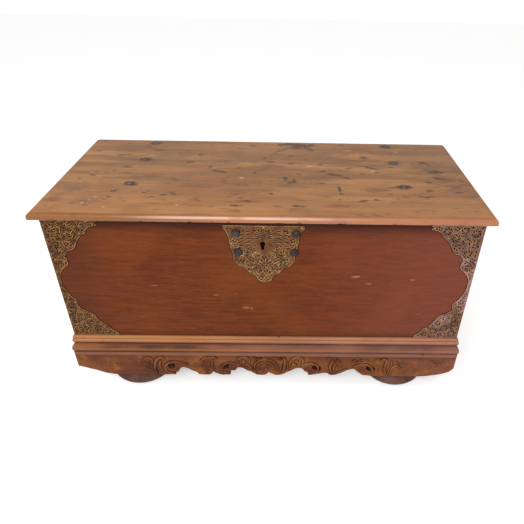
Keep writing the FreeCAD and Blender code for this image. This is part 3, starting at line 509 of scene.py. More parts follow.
CARCASS = {"dark": (95, 42, 15), "light": (115, 54, 19), "scale": 3.5, "shine": 0.1, "extra": carcass_extra}
carcass_finish = wood_finish("carcass_teak", **CARCASS)
end_finish = wood_finish("end_board_teak", grain_along_y=True, **CARCASS)
for board in ("front_board", "back_board"):
    eased(board, "carcass", carcass_finish, "carcass_wood")
for side in ("left", "right"):
    eased("end_board_" + side, "carcass", end_finish, "carcass_wood")

# %% [markdown]
# Inside and below, the planks, the rail and the corner blocks are plain raw wood.

# %% Inner boards
inner_finish = wood_finish("raw_inner_wood", (122, 84, 58), (166, 124, 86), gloss=0.75)
inner_along_y = wood_finish("raw_plank_wood", (120, 82, 56), (160, 118, 82), grain_along_y=True, gloss=0.75)
for node in sorted(n for n in frame["nodes"] if n.startswith(("bottom_plank", "base_rail", "corner_block"))):
    low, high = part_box(node)
    long_y = high.y - low.y > high.x - low.x
    eased(node, "carcass", inner_along_y if long_y else inner_finish, "inner_wood", width=1.2)

# %% [markdown]
# ## Curves from a few points
#
# Mouldings, feet and brass outlines are drawn as a few points with bows between them. A point is
# (a, b) or (a, b, rise): the rise lifts the middle of the stretch that ends at the point, to the left
# of the way of travel, into an arc.

# %% Function: bowed line


def bowed(points, steps=6):
    line = [points[0][:2]]
    for (ax, ay, *_), (bx, by, *rise) in zip(points, points[1:]):
        chord = math.hypot(bx - ax, by - ay)
        for step in range(1, steps + 1 if rise else 2):
            t = step / steps if rise else 1.0
            lift = 4 * rise[0] * t * (1 - t) if rise else 0.0
            line.append((ax + (bx - ax) * t - (by - ay) / chord * lift,
                         ay + (by - ay) * t + (bx - ax) / chord * lift))
    return line


print("an arc of", len(bowed(((0, 0), (1, 0, 0.2)))), "points")

# %% [markdown]
# ## The lid
#
# The lid is one wide board, flush at the back, with a rounded nosing round the front and both ends.
# It starts as a rectangle at its underside. Each point of the nosing's section extrudes the rim once
# more and moves it in or out, so the corners come out mitred. The underside is taken off while the
# nosing and the top are divided finely, so that knocks can be pressed into them and stains painted on
# their points, and is filled again as one flat face.

# %% The lid's shape
NOSING = bowed(((4, 0), (0, 8, 2.4), (0, 11), (8.5, 19.3, 2.6), (10.2, 19.3), (10.2, 21)), steps=5)
LID_CUTS_X, LID_CUTS_Y = 252, 190


def only(kind, geometry):
    return [part for part in geometry if isinstance(part, kind)]


def rim_place(corner, inset, height):
    x = math.copysign(lid_high.x - inset * MM, corner.co.x)
    y = back_y if corner.co.y > 0 else lid_low.y + inset * MM
    corner.co = (x, y, lid_low.z + height * MM)


def lid_blank():
    shape = bmesh.new()
    bmesh.ops.create_grid(shape, x_segments=1, y_segments=1, size=0.5)
    rim = list(shape.edges)
    for corner in shape.verts:
        rim_place(corner, *NOSING[0])
    for inset, height in NOSING[1:]:
        made = bmesh.ops.extrude_edge_only(shape, edges=rim)["geom"]
        for corner in only(bmesh.types.BMVert, made):
            rim_place(corner, inset, height)
        rim = [e for e in only(bmesh.types.BMEdge, made)
               if abs(e.verts[0].co.z - e.verts[1].co.z) < 1e-6
               and e.verts[0].co.z > lid_low.z + (height - 0.01) * MM and len(e.link_faces) == 1]
    bmesh.ops.edgeloop_fill(shape, edges=rim)
    underside = min(shape.faces, key=lambda face: face.calc_center_median().z)
    bmesh.ops.delete(shape, geom=[underside], context="FACES_ONLY")
    return shape


def divide(shape, axis, cuts):
    """Cuts every long edge that runs along an axis into the same number of parts."""
    edges = [e for e in shape.edges if abs(e.verts[0].co[axis] - e.verts[1].co[axis]) > 0.3]
    bmesh.ops.subdivide_edges(shape, edges=edges, cuts=cuts, use_grid_fill=True)


lid_shape = lid_blank()
divide(lid_shape, 0, LID_CUTS_X)
divide(lid_shape, 1, LID_CUTS_Y)
bmesh.ops.edgeloop_fill(lid_shape, edges=[e for e in lid_shape.edges if e.is_boundary])
bmesh.ops.recalc_face_normals(lid_shape, faces=lid_shape.faces)
print("lid blank has", len(lid_shape.faces), "faces")

# %% [markdown]
# Knocks are pressed into the nosing as small bowls: a point inside the ellipse of a knock moves back
# by a share of its depth. The top has also worn hollow in its middle, by half a millimetre, which no
# one sees until light runs along it.

# %% Wear of the lid
CHIPS = (                # x of a knock in the nosing, half length, depth, height above the underside, mm
    (-200, 7, 2.6, 3), (205, 11, 2.2, 2), (216, 5, 3.6, 5), (572, 12, 2.4, 4), (590, 5, 1.6, 6),
    (40, 16, 1.0, 2), (-430, 6, 1.2, 14), (-560, 9, 1.6, 2), (330, 5, 1.0, 13), (-90, 4, 0.9, 12),
    (455, 7, 1.3, 1), (-330, 5, 1.4, 1), (110, 6, 1.0, 14))
CHIP_TALL = 4.5          # half the height of a knock
HOLLOWING = 0.5          # how far the middle of the top has worn and sunk, mm
HOLLOW_LONG, HOLLOW_DEEP = 1400, 583            # mm along and across the lid over which it sinks


def wear_lid(shape):
    for corner in shape.verts:
        x, y, z = corner.co / MM
        above = z - lid_low.z / MM
        inset = y - lid_low.y / MM
        if inset < 14:
            for at, long, depth, level in CHIPS:
                far = ((x - at) / long) ** 2 + ((above - level) / CHIP_TALL) ** 2
                if far < 1:
                    corner.co.y += depth * (1 - far) * MM
                    corner.co.z += 0.3 * depth * (1 - far) * MM * (1 if level < 8 else -1)
        if above > 20:
            hollow = math.cos(math.pi * x / HOLLOW_LONG) * math.sin(math.pi * min(inset / HOLLOW_DEEP, 1))
            corner.co.z -= HOLLOWING * hollow * MM


wear_lid(lid_shape)
print(len(CHIPS), "knocks in the nosing")

# %% [markdown]
# The lid has had the hardest life. Its honey colour has gone grey-brown in clouds, and it carries
# knots, ink-dark stains, scratches and the dark halos of its iron rivets. Marks are painted on the
# mesh's points as attributes, one attribute for each kind. A mark is an ellipse, turned and bent,
# that is 1 at its middle and falls to 0 at its edge, and a long thin one is a scratch. The finish
# later cuts that slope with fine noise, so that every mark gets a ragged edge.

# %% Marks on the lid
RIVET_HALOS = [(x + 2, y + 2, 33, 25) for x in (-411, 411) for y in (-96, 95, 254)]
INK_MARKS = [            # x, y, half length, half width, mm; then turn, degrees, and bend, if any
    (97, 246, 56, 34), (60, 262, 48, 20), (141, 258, 20, 13), (128, 222, 40, 14, -38), (29, 196, 40, 8, 42),
    (320, 146, 22, 12), (351, 200, 14, 7), (198, -1, 17, 12), (217, -9, 30, 8, -22), (247, -32, 26, 7, -25),
    (173, 20, 22, 10, 10), (163, -72, 18, 10, 24), (262, 50, 34, 5, 24), (303, 68, 36, 5, -4),
    (333, 52, 26, 5, -28), (344, 15, 16, 8), (513, 104, 30, 14), (532, 26, 36, 20, -8),
    (536, -27, 26, 10, -10), (495, -54, 16, 9), (604, 9, 9, 7), (485, -117, 14, 9), (462, -163, 30, 8, -3),
    (380, -172, 8, 7), (317, -186, 13, 9, 30), (222, -148, 7, 7), (211, -185, 7, 7), (216, -119, 6, 46),
    (279, -192, 30, 6, 20, -4), (86, -231, 14, 7), (103, -232, 11, 6, -20), (602, -158, 7, 6),
    (385, -96, 30, 7), (-453, 36, 22, 15), (-571, -62, 9, 8), (-541, -35, 12, 8), (-441, -146, 12, 10, 20),
    (-353, -157, 7, 6), (-445, -190, 12, 7), (-233, 148, 16, 9), (-261, 84, 16, 10),
    (-168, 14, 20, 13, -10), (-146, 4, 14, 11), (-190, 44, 11, 8), (6, 95, 28, 8), (-19, 128, 8, 9),
    (39, 247, 11, 8), (-131, -67, 11, 7, 20), (-384, 188, 40, 7, -6), (-486, 141, 34, 7, 10),
    (-328, -186, 18, 6, 20), (-296, -170, 18, 6, 25), (-278, -154, 16, 5, 20), (-85, -232, 24, 8, -4),
    (84, -229, 12, 7), (53, -43, 9, 22), (79, -59, 9, 20)]
GREY_CLOUDS = [
    (-403, 80, 130, 74, 3), (-340, 130, 120, 40, -4), (-470, 60, 90, 50, 12), (-140, 86, 60, 34),
    (-70, 104, 90, 20, 2), (60, -60, 44, 60), (-255, -36, 60, 26), (-184, -103, 50, 20),
    (175, 146, 70, 38, -18), (600, 40, 30, 36), (150, -40, 70, 50, 10), (520, 50, 90, 74),
    (110, 235, 110, 48), (-560, -130, 60, 44, 25), (-500, -215, 80, 34, 8), (300, 230, 90, 26),
    (360, 60, 80, 30), (-60, -140, 90, 24), (460, 180, 70, 36), (-470, 215, 90, 40)]
RED_SPOTS = [
    (-380, -152, 12, 8), (-265, 255, 12, 11), (30, -231, 19, 9), (-3, 52, 64, 30), (-206, 239, 8, 14),
    (475, 9, 28, 11), (574, -92, 24, 11, 10), (404, -165, 14, 6), (211, -228, 60, 18), (553, -108, 20, 5),
    (-60, -205, 60, 12), (-420, 215, 40, 22), (560, -30, 40, 30), (-590, -200, 30, 40), (330, -120, 50, 16)]
PALE_SPECKS = [
    (-549, -14, 6, 7), (-518, -14, 11, 5), (-481, -189, 6, 6), (-492, -210, 5, 5), (-506, -229, 8, 7),
    (-440, -251, 7, 5), (-244, -235, 5, 5), (-82, -42, 10, 7), (268, 210, 26, 5, 4), (441, 204, 10, 6),
    (332, 23, 12, 7), (135, 65, 24, 7)]
SCATTER = random.Random(7)
for _ in range(90):      # small nameless marks between the ones that can be told apart
    row = (SCATTER.uniform(-610, 610), SCATTER.uniform(-240, 275), SCATTER.uniform(6, 16),
           SCATTER.uniform(4, 7), SCATTER.uniform(-25, 25))
    SCATTER.choice((INK_MARKS, INK_MARKS, GREY_CLOUDS, RED_SPOTS)).append(row)
print(len(INK_MARKS), "ink marks and", len(GREY_CLOUDS), "clouds")

# %% [markdown]
# A shader could draw every mark with nodes of its own, but with this many it would be slow, so the
# ellipses are worked out once for each point of the top and kept on the mesh.

# %% Painting the marks


def paint_marks(shape, attribute, rows):
    """Writes how deep in a mark each point of the top lies, from 0 to 1."""
    layer = shape.verts.layers.float.new(attribute)
    top = [v for v in shape.verts if v.co.z > lid_high.z - 2 * MM]
    place = np.array([v.co[:2] for v in top]) / MM
    depth = np.zeros(len(top))
    for x, y, long, wide, turn, bend in map(whole_row, rows):
        angle = math.radians(turn)
        along = (place[:, 0] - x) * math.cos(angle) + (place[:, 1] - y) * math.sin(angle)
        across = (place[:, 1] - y) * math.cos(angle) - (place[:, 0] - x) * math.sin(angle)
        across += bend * along ** 2 * MM
        depth = np.maximum(depth, 1 - np.sqrt((along / long) ** 2 + (across / wide) ** 2))
    for corner, value in zip(top, depth):
        corner[layer] = float(value)
    print(attribute, len(rows), "marks")


for attribute, rows in (("ink", INK_MARKS), ("grey", GREY_CLOUDS), ("red", RED_SPOTS),
                        ("pale", PALE_SPECKS), ("halo", RIVET_HALOS)):
    paint_marks(lid_shape, attribute, rows)

# %% [markdown]
# The finish of the lid has two parts. The first one gives the top its clouds, its marks and its
# flecks. The second one wears the nosing: a line scribed behind it, a pale band on the upper half of
# its middle stretch, which is a painted highlight where sleeves have also polished it smoother,
# bruises along its lower edge, and a duller underside.

# %% Finish: lid
MARK_LAYERS = (          # attribute, how ragged its edge is, how soft, how strong, and its paint
    ("grey", 1.5, 0.7, 0.5, (118, 88, 62)), ("red", 1.2, 0.5, 0.55, (128, 68, 48)),
    ("ink", 1.3, 0.4, 0.75, (68, 38, 20)), ("halo", 0.7, 0.5, 1.0, (56, 37, 31)),
    ("pale", 0.7, 0.5, 0.55, (222, 186, 146)))
FLECKS = ((16.0, 0.58, 0.7, 0.35), (48.0, 0.6, 0.7, 0.5), (120.0, 0.62, 0.72, 0.45))


def along_grain(add, place):
    return add.vector("MULTIPLY", place, (0.4, 1.0, 1.0))


def lid_top(add, place, y, colour):
    along = along_grain(add, place)
    colour = add.paints(
        colour, (add.patches(place, 5.0, 5, 0.42, 0.68, 0.4), 0.4, (150, 106, 72)),
        (add.ease(y, -0.05, -0.25), 0.45, (186, 126, 72)),
        (add.patches(along, 19.0, 5, 0.5, 0.68, 0.3), 0.32, (124, 82, 54)),
        (add.patches(place, 3.1, 3, 0.52, 0.72), 0.35, (158, 96, 62)))
    coarse = add.maths("SUBTRACT", add.noise(along, 34.0, 4), 0.5)
    fine = add.maths("SUBTRACT", add.noise(along, 130.0, 4), 0.5)
    frayed = add.maths("MULTIPLY_ADD", fine, 1.6, coarse)
    for attribute, ragged, soft, strength, tint in MARK_LAYERS:
        depth = add.painted(attribute)
        cut = add.maths("MULTIPLY_ADD", frayed, ragged, depth)
        mask = add.times(add.ease(cut, 0.12, 0.12 + soft), add.ease(depth, 0.0, 0.12))
        colour = add.paints(colour, (mask, strength, tint))
    return add.paints(colour, *((add.patches(along, scale, 3, low, high, 0.6), strength, (104, 68, 44))
                                for scale, low, high, strength in FLECKS))


def lid_extra(add, place, colour, height, rough):
    x, y, z = add.axes(place)
    colour = lid_top(add, place, y, colour)
    edge, base = lid_low.y, lid_low.z
    from_line = add.maths("ABSOLUTE", add.maths("SUBTRACT", y, edge + 33 * MM))
    scribed = add.times(add.ease(from_line, 0.2 * MM, 1.1 * MM, 1, 0), add.patches(place, 5, 2, 0.35, 0.6))
    nosed = add.ease(y, edge + 14 * MM, edge + 5 * MM)
    # the nosing runs from darker brown at the left end to a pinker tan at the right; the pink is a painted
    # reflection
    along = add.blend(add.ease(x, -0.5, 0.1), paint(118, 74, 40), paint(172, 112, 86))
    colour = add.blend(add.times(nosed, 0.65), add.paints(colour, (scribed, 0.5, (112, 72, 44))), along)
    # the middle stretch of the nosing: painted highlight there, and less roughness where sleeves polished it
    highlight_and_wear = add.times(add.times(add.ease(x, -0.42, -0.2), add.ease(x, 0.34, 0.0)), nosed)
    painted_light_band = add.times(add.ease(z, base + 10 * MM, base + 13 * MM), add.ease(z, base + 19 * MM, base + 16 * MM))
    streaky = add.ease(add.noise(along_grain(add, place), 30.0, 4), 0.3, 0.55, 0.25, 1.0)
    bruised = add.times(add.patches(place, 38.0, 4, 0.6, 0.68), add.ease(z, base + 8 * MM, base + 3 * MM))
    under = add.ease(z, base + 1.5 * MM, base + 0.3 * MM)
    # painted highlight: a pale band on the upper half of the nosing's middle stretch
    colour = add.paints(colour, (add.times(add.times(painted_light_band, highlight_and_wear), streaky), 0.55, (232, 200, 184)),
                        (add.times(bruised, nosed), 0.8, (84, 48, 34)), (under, 0.5, (116, 80, 54)))
    height = add.maths("SUBTRACT", height, add.times(scribed, 1.2))
    return colour, height, add.maths("MULTIPLY_ADD", highlight_and_wear, -0.1, rough)


lid_finish = wood_finish("lid_teak", (148, 100, 54), (184, 130, 76), gloss=0.34, extra=lid_extra,
                         fibre_depth=0.3)
make_piece("lid_worn_board", lid_shape, "lid", lid_finish, "lid_wood", "lid_board", crease=50)

# %% [markdown]
# ## Plinth mouldings
#
# The plinth moulding is one section, run along the front and both ends and mitred at the front
# corners. The section is drawn once, as a wire. Extruding the wire and moving its far end makes the
# length; at a mitre each point stops as far from the corner as it stands out from the board. The
# length is divided so that dents can be pressed into the top bead.

# %% The moulding's section
MOULDING_OUT, MOULDING_UP = 14.0, 75.0
MOULDING_SECTION = bowed([(a * MOULDING_OUT, b * MOULDING_UP, *rise) for a, b, *rise in (
    (0, 0), (0.95, 0), (0.95, 0.175), (0.84, 0.19), (0.84, 0.215), (1.04, 0.27, -0.7), (1.04, 0.41, -0.6),
    (0.8, 0.52, -1), (0.55, 0.575, 0.8), (0.34, 0.6), (0.34, 0.63), (0.64, 0.7, -0.8), (0.66, 0.81, -0.5),
    (0.5, 0.862, -0.5), (0.44, 0.87), (0.5, 0.885), (0.42, 0.97, -0.8), (0.29, 1, -0.3), (0, 1))], steps=5)
DENTS = (                # x of a dent, half length, depth, height above the moulding's foot, mm
    (-520, 5, 2.0, 63), (-508, 4, 1.4, 66), (-60, 8, 1.2, 60), (42, 6, 1.6, 61), (200, 5, 1.6, 58),
    (262, 4, 1.0, 62), (-250, 7, 1.3, 58), (420, 9, 0.8, 64), (-30, 5, 2.2, 58), (545, 5, 1.4, 60),
    (120, 6, 1.3, 30), (-330, 8, 1.2, 28), (330, 6, 1.2, 34), (-600, 6, 1.6, 40), (600, 5, 1.6, 36))
DENT_TALL = 5.5          # half the height of a dent
moulding_foot = moulding_low.z


def mitre(sign):
    return lambda out, rise: (sign * (half_width + out), face_y - out, moulding_foot + rise)


def square_end(sign):
    return lambda out, rise: (sign * (half_width + out), back_y, moulding_foot + rise)


def run_moulding(start, end, cuts):
    """A length of moulding. start and end place a point from its distance out and its height."""
    shape = bmesh.new()
    section = [shape.verts.new((0, out * MM, rise * MM)) for out, rise in MOULDING_SECTION]
    shape.faces.new(section)
    far_end = only(bmesh.types.BMVert, bmesh.ops.extrude_face_region(shape, geom=shape.faces[:])["geom"])
    for corners, place in ((section, start), (far_end, end)):
        for corner in corners:
            corner.co = place(corner.co.y, corner.co.z)
    lengths = [e for e in shape.edges if (e.verts[0] in section) != (e.verts[1] in section)]
    bmesh.ops.subdivide_edges(shape, edges=lengths, cuts=cuts, use_grid_fill=True)
    bmesh.ops.recalc_face_normals(shape, faces=shape.faces)
    return shape


front_run = run_moulding(mitre(-1), mitre(1), cuts=320)
for corner in front_run.verts:
    x, z = corner.co.x / MM, (corner.co.z - moulding_foot) / MM
    for at, long, depth, level in DENTS:
        far = ((x - at) / long) ** 2 + ((z - level) / DENT_TALL) ** 2
        if far < 1 and corner.co.y < face_y - 1 * MM:
            corner.co.y += depth * (1 - far) * MM
print(len(DENTS), "dents in the front moulding")

# %% [markdown]
# The moulding's colour follows its height: pale brown along the beads as painted highlights, dark
# lines in the quirks as painted shade, and greyed-pink painted reflections on the lowest fillet and in
# the cove, with more pink towards the right end. A curve node reads the height and gives back how pale
# the wood is there.

# %% Finish: mouldings
# painted highlights along the beads where the curve is high, painted shade in the quirks where it is low
HIGHLIGHT_AND_SHADE_BY_HEIGHT = (
    (0, 0.38), (0.16, 0.3), (0.19, 0.0), (0.23, 0.0), (0.27, 0.12), (0.33, 0.42), (0.39, 0.38), (0.45, 0.2),
    (0.51, 0.2), (0.56, 0.1), (0.60, 0.0), (0.66, 0.0), (0.70, 0.5), (0.76, 0.66), (0.80, 0.95),
    (0.845, 0.9), (0.87, 0.35), (0.90, 0.95), (1, 0.8))
REFLECTION_BANDS = ((-0.05, 0.17), (0.53, 0.58))      # heights of a greyed-pink painted reflection


def highlight_and_shade(add, share):
    curve = add.put("FloatCurve", {"Value": share})
    line = curve.mapping.curves[0]
    line.points[0].location, line.points[1].location = HIGHLIGHT_AND_SHADE_BY_HEIGHT[0], HIGHLIGHT_AND_SHADE_BY_HEIGHT[-1]
    for point in HIGHLIGHT_AND_SHADE_BY_HEIGHT[1:-1]:
        line.points.new(*point)
    curve.mapping.update()
    return curve.outputs[0]


def moulding_extra(add, place, colour, height, rough):
    x, _, z = add.axes(place)
    share = add.put("MapRange", {0: z, 1: moulding_foot, 2: moulding_foot + MOULDING_UP * MM}).outputs[0]
    lengthwise = add.vector("MULTIPLY", place, (0.35, 0.35, 1.0))
    uneven = add.times(add.maths("SUBTRACT", add.noise(lengthwise, 24.0, 5), 0.5), 0.8)
    pale = add.maths("ADD", highlight_and_shade(add, share), uneven, clamp=True)
    # pale brown as painted highlights on the beads, dark lines as painted shade in the quirks
    colour = add.paints(colour, (pale, 0.75, (185, 127, 82)), (add.ease(pale, 0.25, 0.0), 0.8, (66, 34, 18)))
    # a painted pink reflection that grows towards the right end
    pink_reflection = add.blend(pale, paint(118, 76, 74), paint(178, 126, 112))
    colour = add.blend(add.times(add.ease(x, -0.35, 0.55), 0.45), colour, pink_reflection)
    # painted greyed-pink reflections on the lowest fillet and in the cove
    for low, high in REFLECTION_BANDS:
        painted_light_band = add.times(add.ease(share, low, low + 0.03), add.ease(share, high + 0.02, high))
        colour = add.paints(colour, (painted_light_band, 0.4, (122, 82, 70)))
    colour = add.paints(colour, (add.patches(place, 42.0, 2, 0.70, 0.76), 0.7, (60, 34, 26)))
    return colour, height, rough


MOULDING = {"dark": (96, 50, 22), "light": (124, 68, 30), "gloss": 0.34, "shine": 0.15,
            "extra": moulding_extra}
moulding_finish = wood_finish("moulding_teak", **MOULDING)
moulding_side_finish = wood_finish("moulding_side_teak", grain_along_y=True, **MOULDING)
make_piece("plinth_front_run", front_run, "carcass", moulding_finish, "moulding_wood",
           "plinth_moulding_front")
for side, sign in (("left", -1), ("right", 1)):
    make_piece(f"plinth_{side}_run", run_moulding(mitre(sign), square_end(sign), cuts=100), "carcass",
               moulding_side_finish, "moulding_wood", "plinth_moulding_" + side)

# %% [markdown]
# ## Relief: carving and pierced brass
#
# Carving and pierced work share one method. A fine grid covers the flat face. Strokes are drawn over
# it, and each one raises a rounded ridge and sinks a groove beside it. Two maps come out: how high
# the surface stands, and how far each point is from the nearest cut edge. Faces outside the outline
# or in a hole are deleted, the points along a cut are slid onto it, and the sheet gets its thickness.
# All lengths in a relief are millimetres.

# %% Drawing strokes
FAR = 8.0                # gaps beyond this are all the same


def scroll(u, v, heading, length, turn=0.0, curl=0.0, steps=22):
    """A curve that starts at (u, v) and turns steadily. A positive curl tightens it."""
    line, angle = [(u, v)], math.radians(heading)
    for step in range(steps):
        share = (step + 0.5) / steps
        angle += math.radians(turn) / steps * (1 + curl * (2 * share - 1))
        u, v = u + length / steps * math.cos(angle), v + length / steps * math.sin(angle)
        line.append((u, v))
    return np.array(line)


print("a scroll of", len(scroll(0, 0, 0, 10)), "points")

# %% [markdown]
# `Relief` holds the two maps. `ridge` raises a stroke between two grooves, `sink` lowers the ground
# round a line and `hollow` scoops a bowl. `pierce` cuts a hole, `strand` lays a raised stroke over the
# holes again, and `trim` limits the sheet to its outline. A stroke looks only at the part of the maps
# that is near its line, which keeps hundreds of strokes quick.

# %% Maps of a relief


class Relief:
    """Maps of height and of distance to a cut, over a rectangle."""

    def __init__(self, low, high, cell, groove=1.5):
        self.groove = groove                         # half the width of the cut beside a ridge
        self.counts = [max(2, round((b - a) / cell) + 1) for a, b in zip(low, high)]
        self.low, self.cell = low, cell
        columns, rows = (np.linspace(a, b, count) for a, b, count in zip(low, high, self.counts))
        self.u, self.v = np.meshgrid(columns, rows)
        self.height = np.zeros_like(self.u)
        self.solid = np.full_like(self.u, FAR)       # above 0 in the material, below 0 in a hole

    def near(self, line, widths, reach):
        """The part of the maps round a stroke: its window, the gap to the stroke, the share across it."""
        radii = np.interp(np.linspace(0, 1, len(line)), np.linspace(0, 1, len(widths)), widths)
        lowest, highest = line.min(0) - reach, line.max(0) + reach
        window = tuple(
            slice(max(0, int((lowest[a] - self.low[a]) / self.cell)),
                  max(0, int((highest[a] - self.low[a]) / self.cell) + 2)) for a in (1, 0))
        u, v = self.u[window], self.v[window]
        gap, share = np.full_like(u, FAR * 2), np.full_like(u, 9.0)
        for (at_u, at_v), radius in zip(line, radii):
            far = np.hypot(u - at_u, v - at_v)
            closer = far - radius < gap
            gap = np.where(closer, far - radius, gap)
            share = np.where(closer, far / radius, share)
        return window, gap, share

    def ridge(self, line, widths, lift, moat):
        window, gap, share = self.near(line, widths, max(widths) + 4 + self.groove)
        height = self.height[window]
        groove = -moat * np.exp(-(gap / self.groove) ** 2)
        crest = lift * np.sqrt(np.clip(1 - share ** 2, 0, 1)) - 0.5 * moat * share ** 4
        self.height[window] = np.where(gap < 0, crest, np.where(gap < 5, np.minimum(height, groove), height))

    def sink(self, line, reach, depth):
        """Lowers the ground round a line, deepest at the line and level again some reach away."""
        window, gap, _ = self.near(line, (1,), 2.5 * reach)
        ground = -depth * np.exp(-(np.maximum(gap, 0) / reach) ** 2)
        self.height[window] = np.minimum(self.height[window], ground)

    def strand(self, line, widths, lift, moat):
        """A raised strand that is laid over the holes as well."""
        window, gap, _ = self.near(line, widths, max(widths) + 2)
        self.solid[window] = np.maximum(self.solid[window], -gap)
        self.ridge(line, widths, lift, moat)

    def hollow(self, u, v, long, wide, turn, depth, slope=0.0):
        angle = math.radians(turn)
        along = ((self.u - u) * math.cos(angle) + (self.v - v) * math.sin(angle)) / long
        across = ((self.v - v) * math.cos(angle) - (self.u - u) * math.sin(angle)) / wide
        bowl = np.sqrt(np.clip(1 - along ** 2 - across ** 2, 0, 1)) * (1 + slope * along)
        self.height = np.where(bowl > 0, np.minimum(self.height, -depth * bowl), self.height)

    def pierce(self, line, widths):
        window, gap, _ = self.near(np.array(line), widths, max(widths) + FAR)
        self.solid[window] = np.minimum(self.solid[window], gap)

    def trim(self, outline):
        """Limits the material to the inside of a closed outline. Returns the distance to it."""
        inside, nearest = np.zeros(self.u.shape, bool), np.full_like(self.u, 1e9)
        for (au, av), (bu, bv) in zip(outline, outline[1:] + outline[:1]):
            along_u, along_v = bu - au, bv - av
            length = max(along_u ** 2 + along_v ** 2, 1e-9)
            share = np.clip(((self.u - au) * along_u + (self.v - av) * along_v) / length, 0, 1)
            far = np.hypot(self.u - au - share * along_u, self.v - av - share * along_v)
            nearest = np.minimum(nearest, far)
            crosses = (av > self.v) != (bv > self.v)
            with np.errstate(divide="ignore", invalid="ignore"):
                at = au + (self.v - av) / (bv - av) * along_u
            inside ^= crosses & (self.u < at)
        distance = np.where(inside, nearest, -nearest)
        self.solid = np.minimum(self.solid, np.clip(distance, -FAR, FAR))
        return distance


print("Relief can", [name for name in vars(Relief) if not name.startswith("_")])

# %% [markdown]
# The maps become a mesh here. How far a point lies below or above its surroundings is kept in two
# attributes, `recess` and `crest`. The apron's finish paints shade into the hollows with them and the
# brass's finish dirt, and both paint highlights onto the ridges. A third attribute, `sunk`, is the
# depth below the face in millimetres.

# %% Function: relief to solid


def blurred(heights, reach):
    """The mean of each point and its neighbours in a cross, up to reach cells away."""
    padded = np.pad(heights, reach, mode="edge")
    rows, columns = heights.shape
    total = np.zeros_like(heights)
    for step in range(-reach, reach + 1):
        total += padded[reach + step:reach + step + rows, reach:reach + columns]
        total += padded[reach:reach + rows, reach + step:reach + step + columns]
    return total / (4 * reach + 2)


def relief_solid(relief, thickness, place, blur=3, depth=1.2, flat_back=False):
    """place(u, v, height) turns a point of the relief into one in metres. Returns a closed bmesh."""
    shape = bmesh.new()
    layers = [shape.verts.layers.float.new(name) for name in ("recess", "crest", "sunk")]
    across, upward = relief.counts
    bmesh.ops.create_grid(shape, x_segments=across - 1, y_segments=upward - 1, size=0.5)
    step_u, step_v = np.gradient(relief.solid, relief.cell)[::-1]
    below = blurred(relief.height, blur) - relief.height
    spot = {v: (round((v.co.y + 0.5) * (upward - 1)), round((v.co.x + 0.5) * (across - 1)))
            for v in shape.verts}
    lost = [f for f in shape.faces if sum(relief.solid[spot[v]] for v in f.verts) <= 0.02 * relief.cell]
    bmesh.ops.delete(shape, geom=lost, context="FACES")
    front_faces = shape.faces[:]
    edge_corners = {v for v in shape.verts if v.is_boundary}
    height_at = {}
    for corner in shape.verts:
        at = spot[corner]
        u, v, height = relief.u[at], relief.v[at], relief.height[at]
        if corner in edge_corners and 0 < at[0] < upward - 1 and 0 < at[1] < across - 1:
            slope_u, slope_v = step_u[at], step_v[at]
            move = -relief.solid[at] / max(slope_u ** 2 + slope_v ** 2, 0.2)
            size = abs(move) * math.hypot(slope_u, slope_v)
            move *= min(1.0, 0.8 * relief.cell / max(size, 1e-6))
            u, v = u + move * slope_u, v + move * slope_v
        values = (np.clip(below[at] / depth, 0, 1), np.clip(-below[at] / depth, 0, 1), -height)
        for layer, value in zip(layers, values):
            corner[layer] = float(value)
        corner.co = (u, v, 0)
        height_at[corner] = height
    made = bmesh.ops.extrude_face_region(shape, geom=front_faces, use_keep_orig=True)["geom"]
    backs = set(only(bmesh.types.BMVert, made))
    back_faces = only(bmesh.types.BMFace, made)
    for corner in shape.verts:
        rise = -thickness if corner in backs else height_at[corner]
        corner.co = place(corner.co.x, corner.co.y, rise)
    if flat_back:
        bmesh.ops.dissolve_faces(shape, faces=back_faces)
    bmesh.ops.recalc_face_normals(shape, faces=shape.faces)
    return shape


print("a flat map stays", blurred(np.ones((3, 3)), 1).mean())

# %% [markdown]
# ## The carved apron
#
# Under the moulding hangs the apron, sawn in scallops and carved with leaves, scrolls and shells. Its
# lower edge is a bowed line. u runs along the apron from its middle, v upwards from its lowest edge.

# %% The apron's outline
APRON_HALF = apron_high.x / MM
APRON_TALL = (apron_high.z - apron_low.z) / MM
APRON_EDGE = (           # the lower edge from left to right: u, v, rise
    (-APRON_HALF, 38), (-589, 27, 1), (-544, 10, 1), (-507, 1.5, -1), (-352, 1.5), (-333, 1), (-307, 1),
    (-305, 12), (-294, 20, -2), (-285, 31, 1), (-272, 34, 1.5), (-252, 22, 1), (-235, 14), (-225, 3, -1.5),
    (-195, 2, -0.5), (-181, 16, -2), (-168, 8, -1), (-150, 2, -1), (-124, 2), (-122, 20), (-110, 22, 0.8),
    (-99, 35, -1.5), (-86, 34, 1), (-70, 24, 1), (-48, 12, 0.5), (-36, 3, -0.8), (-11, 3, -0.6),
    (4, 16, -2), (18, 8, -1), (28, 3, -0.6), (47, 4, -0.4), (63, 14, -0.8), (79, 23, 0.5), (95, 34, 1),
    (114, 34, 1.5), (125, 20, 1), (132, 19), (138, 2), (157, 5, -0.8), (177, 11), (192, 15, 0.5),
    (203, 12, 0.5), (212, 4, -1), (229, 5, -0.6), (247, 14, -0.5), (266, 25), (285, 33, 1), (292, 31, 0.5),
    (300, 22), (308, 17, -0.8), (318, 7, -0.6), (334, 2, -1), (354, 1.5), (512, 1), (536, 3), (572, 10),
    (607, 22, -1), (APRON_HALF, 41, -1.5))
apron_outline = bowed(APRON_EDGE, steps=6) + [(APRON_HALF, APRON_TALL), (-APRON_HALF, APRON_TALL)]
print("the apron's outline has", len(apron_outline), "points")

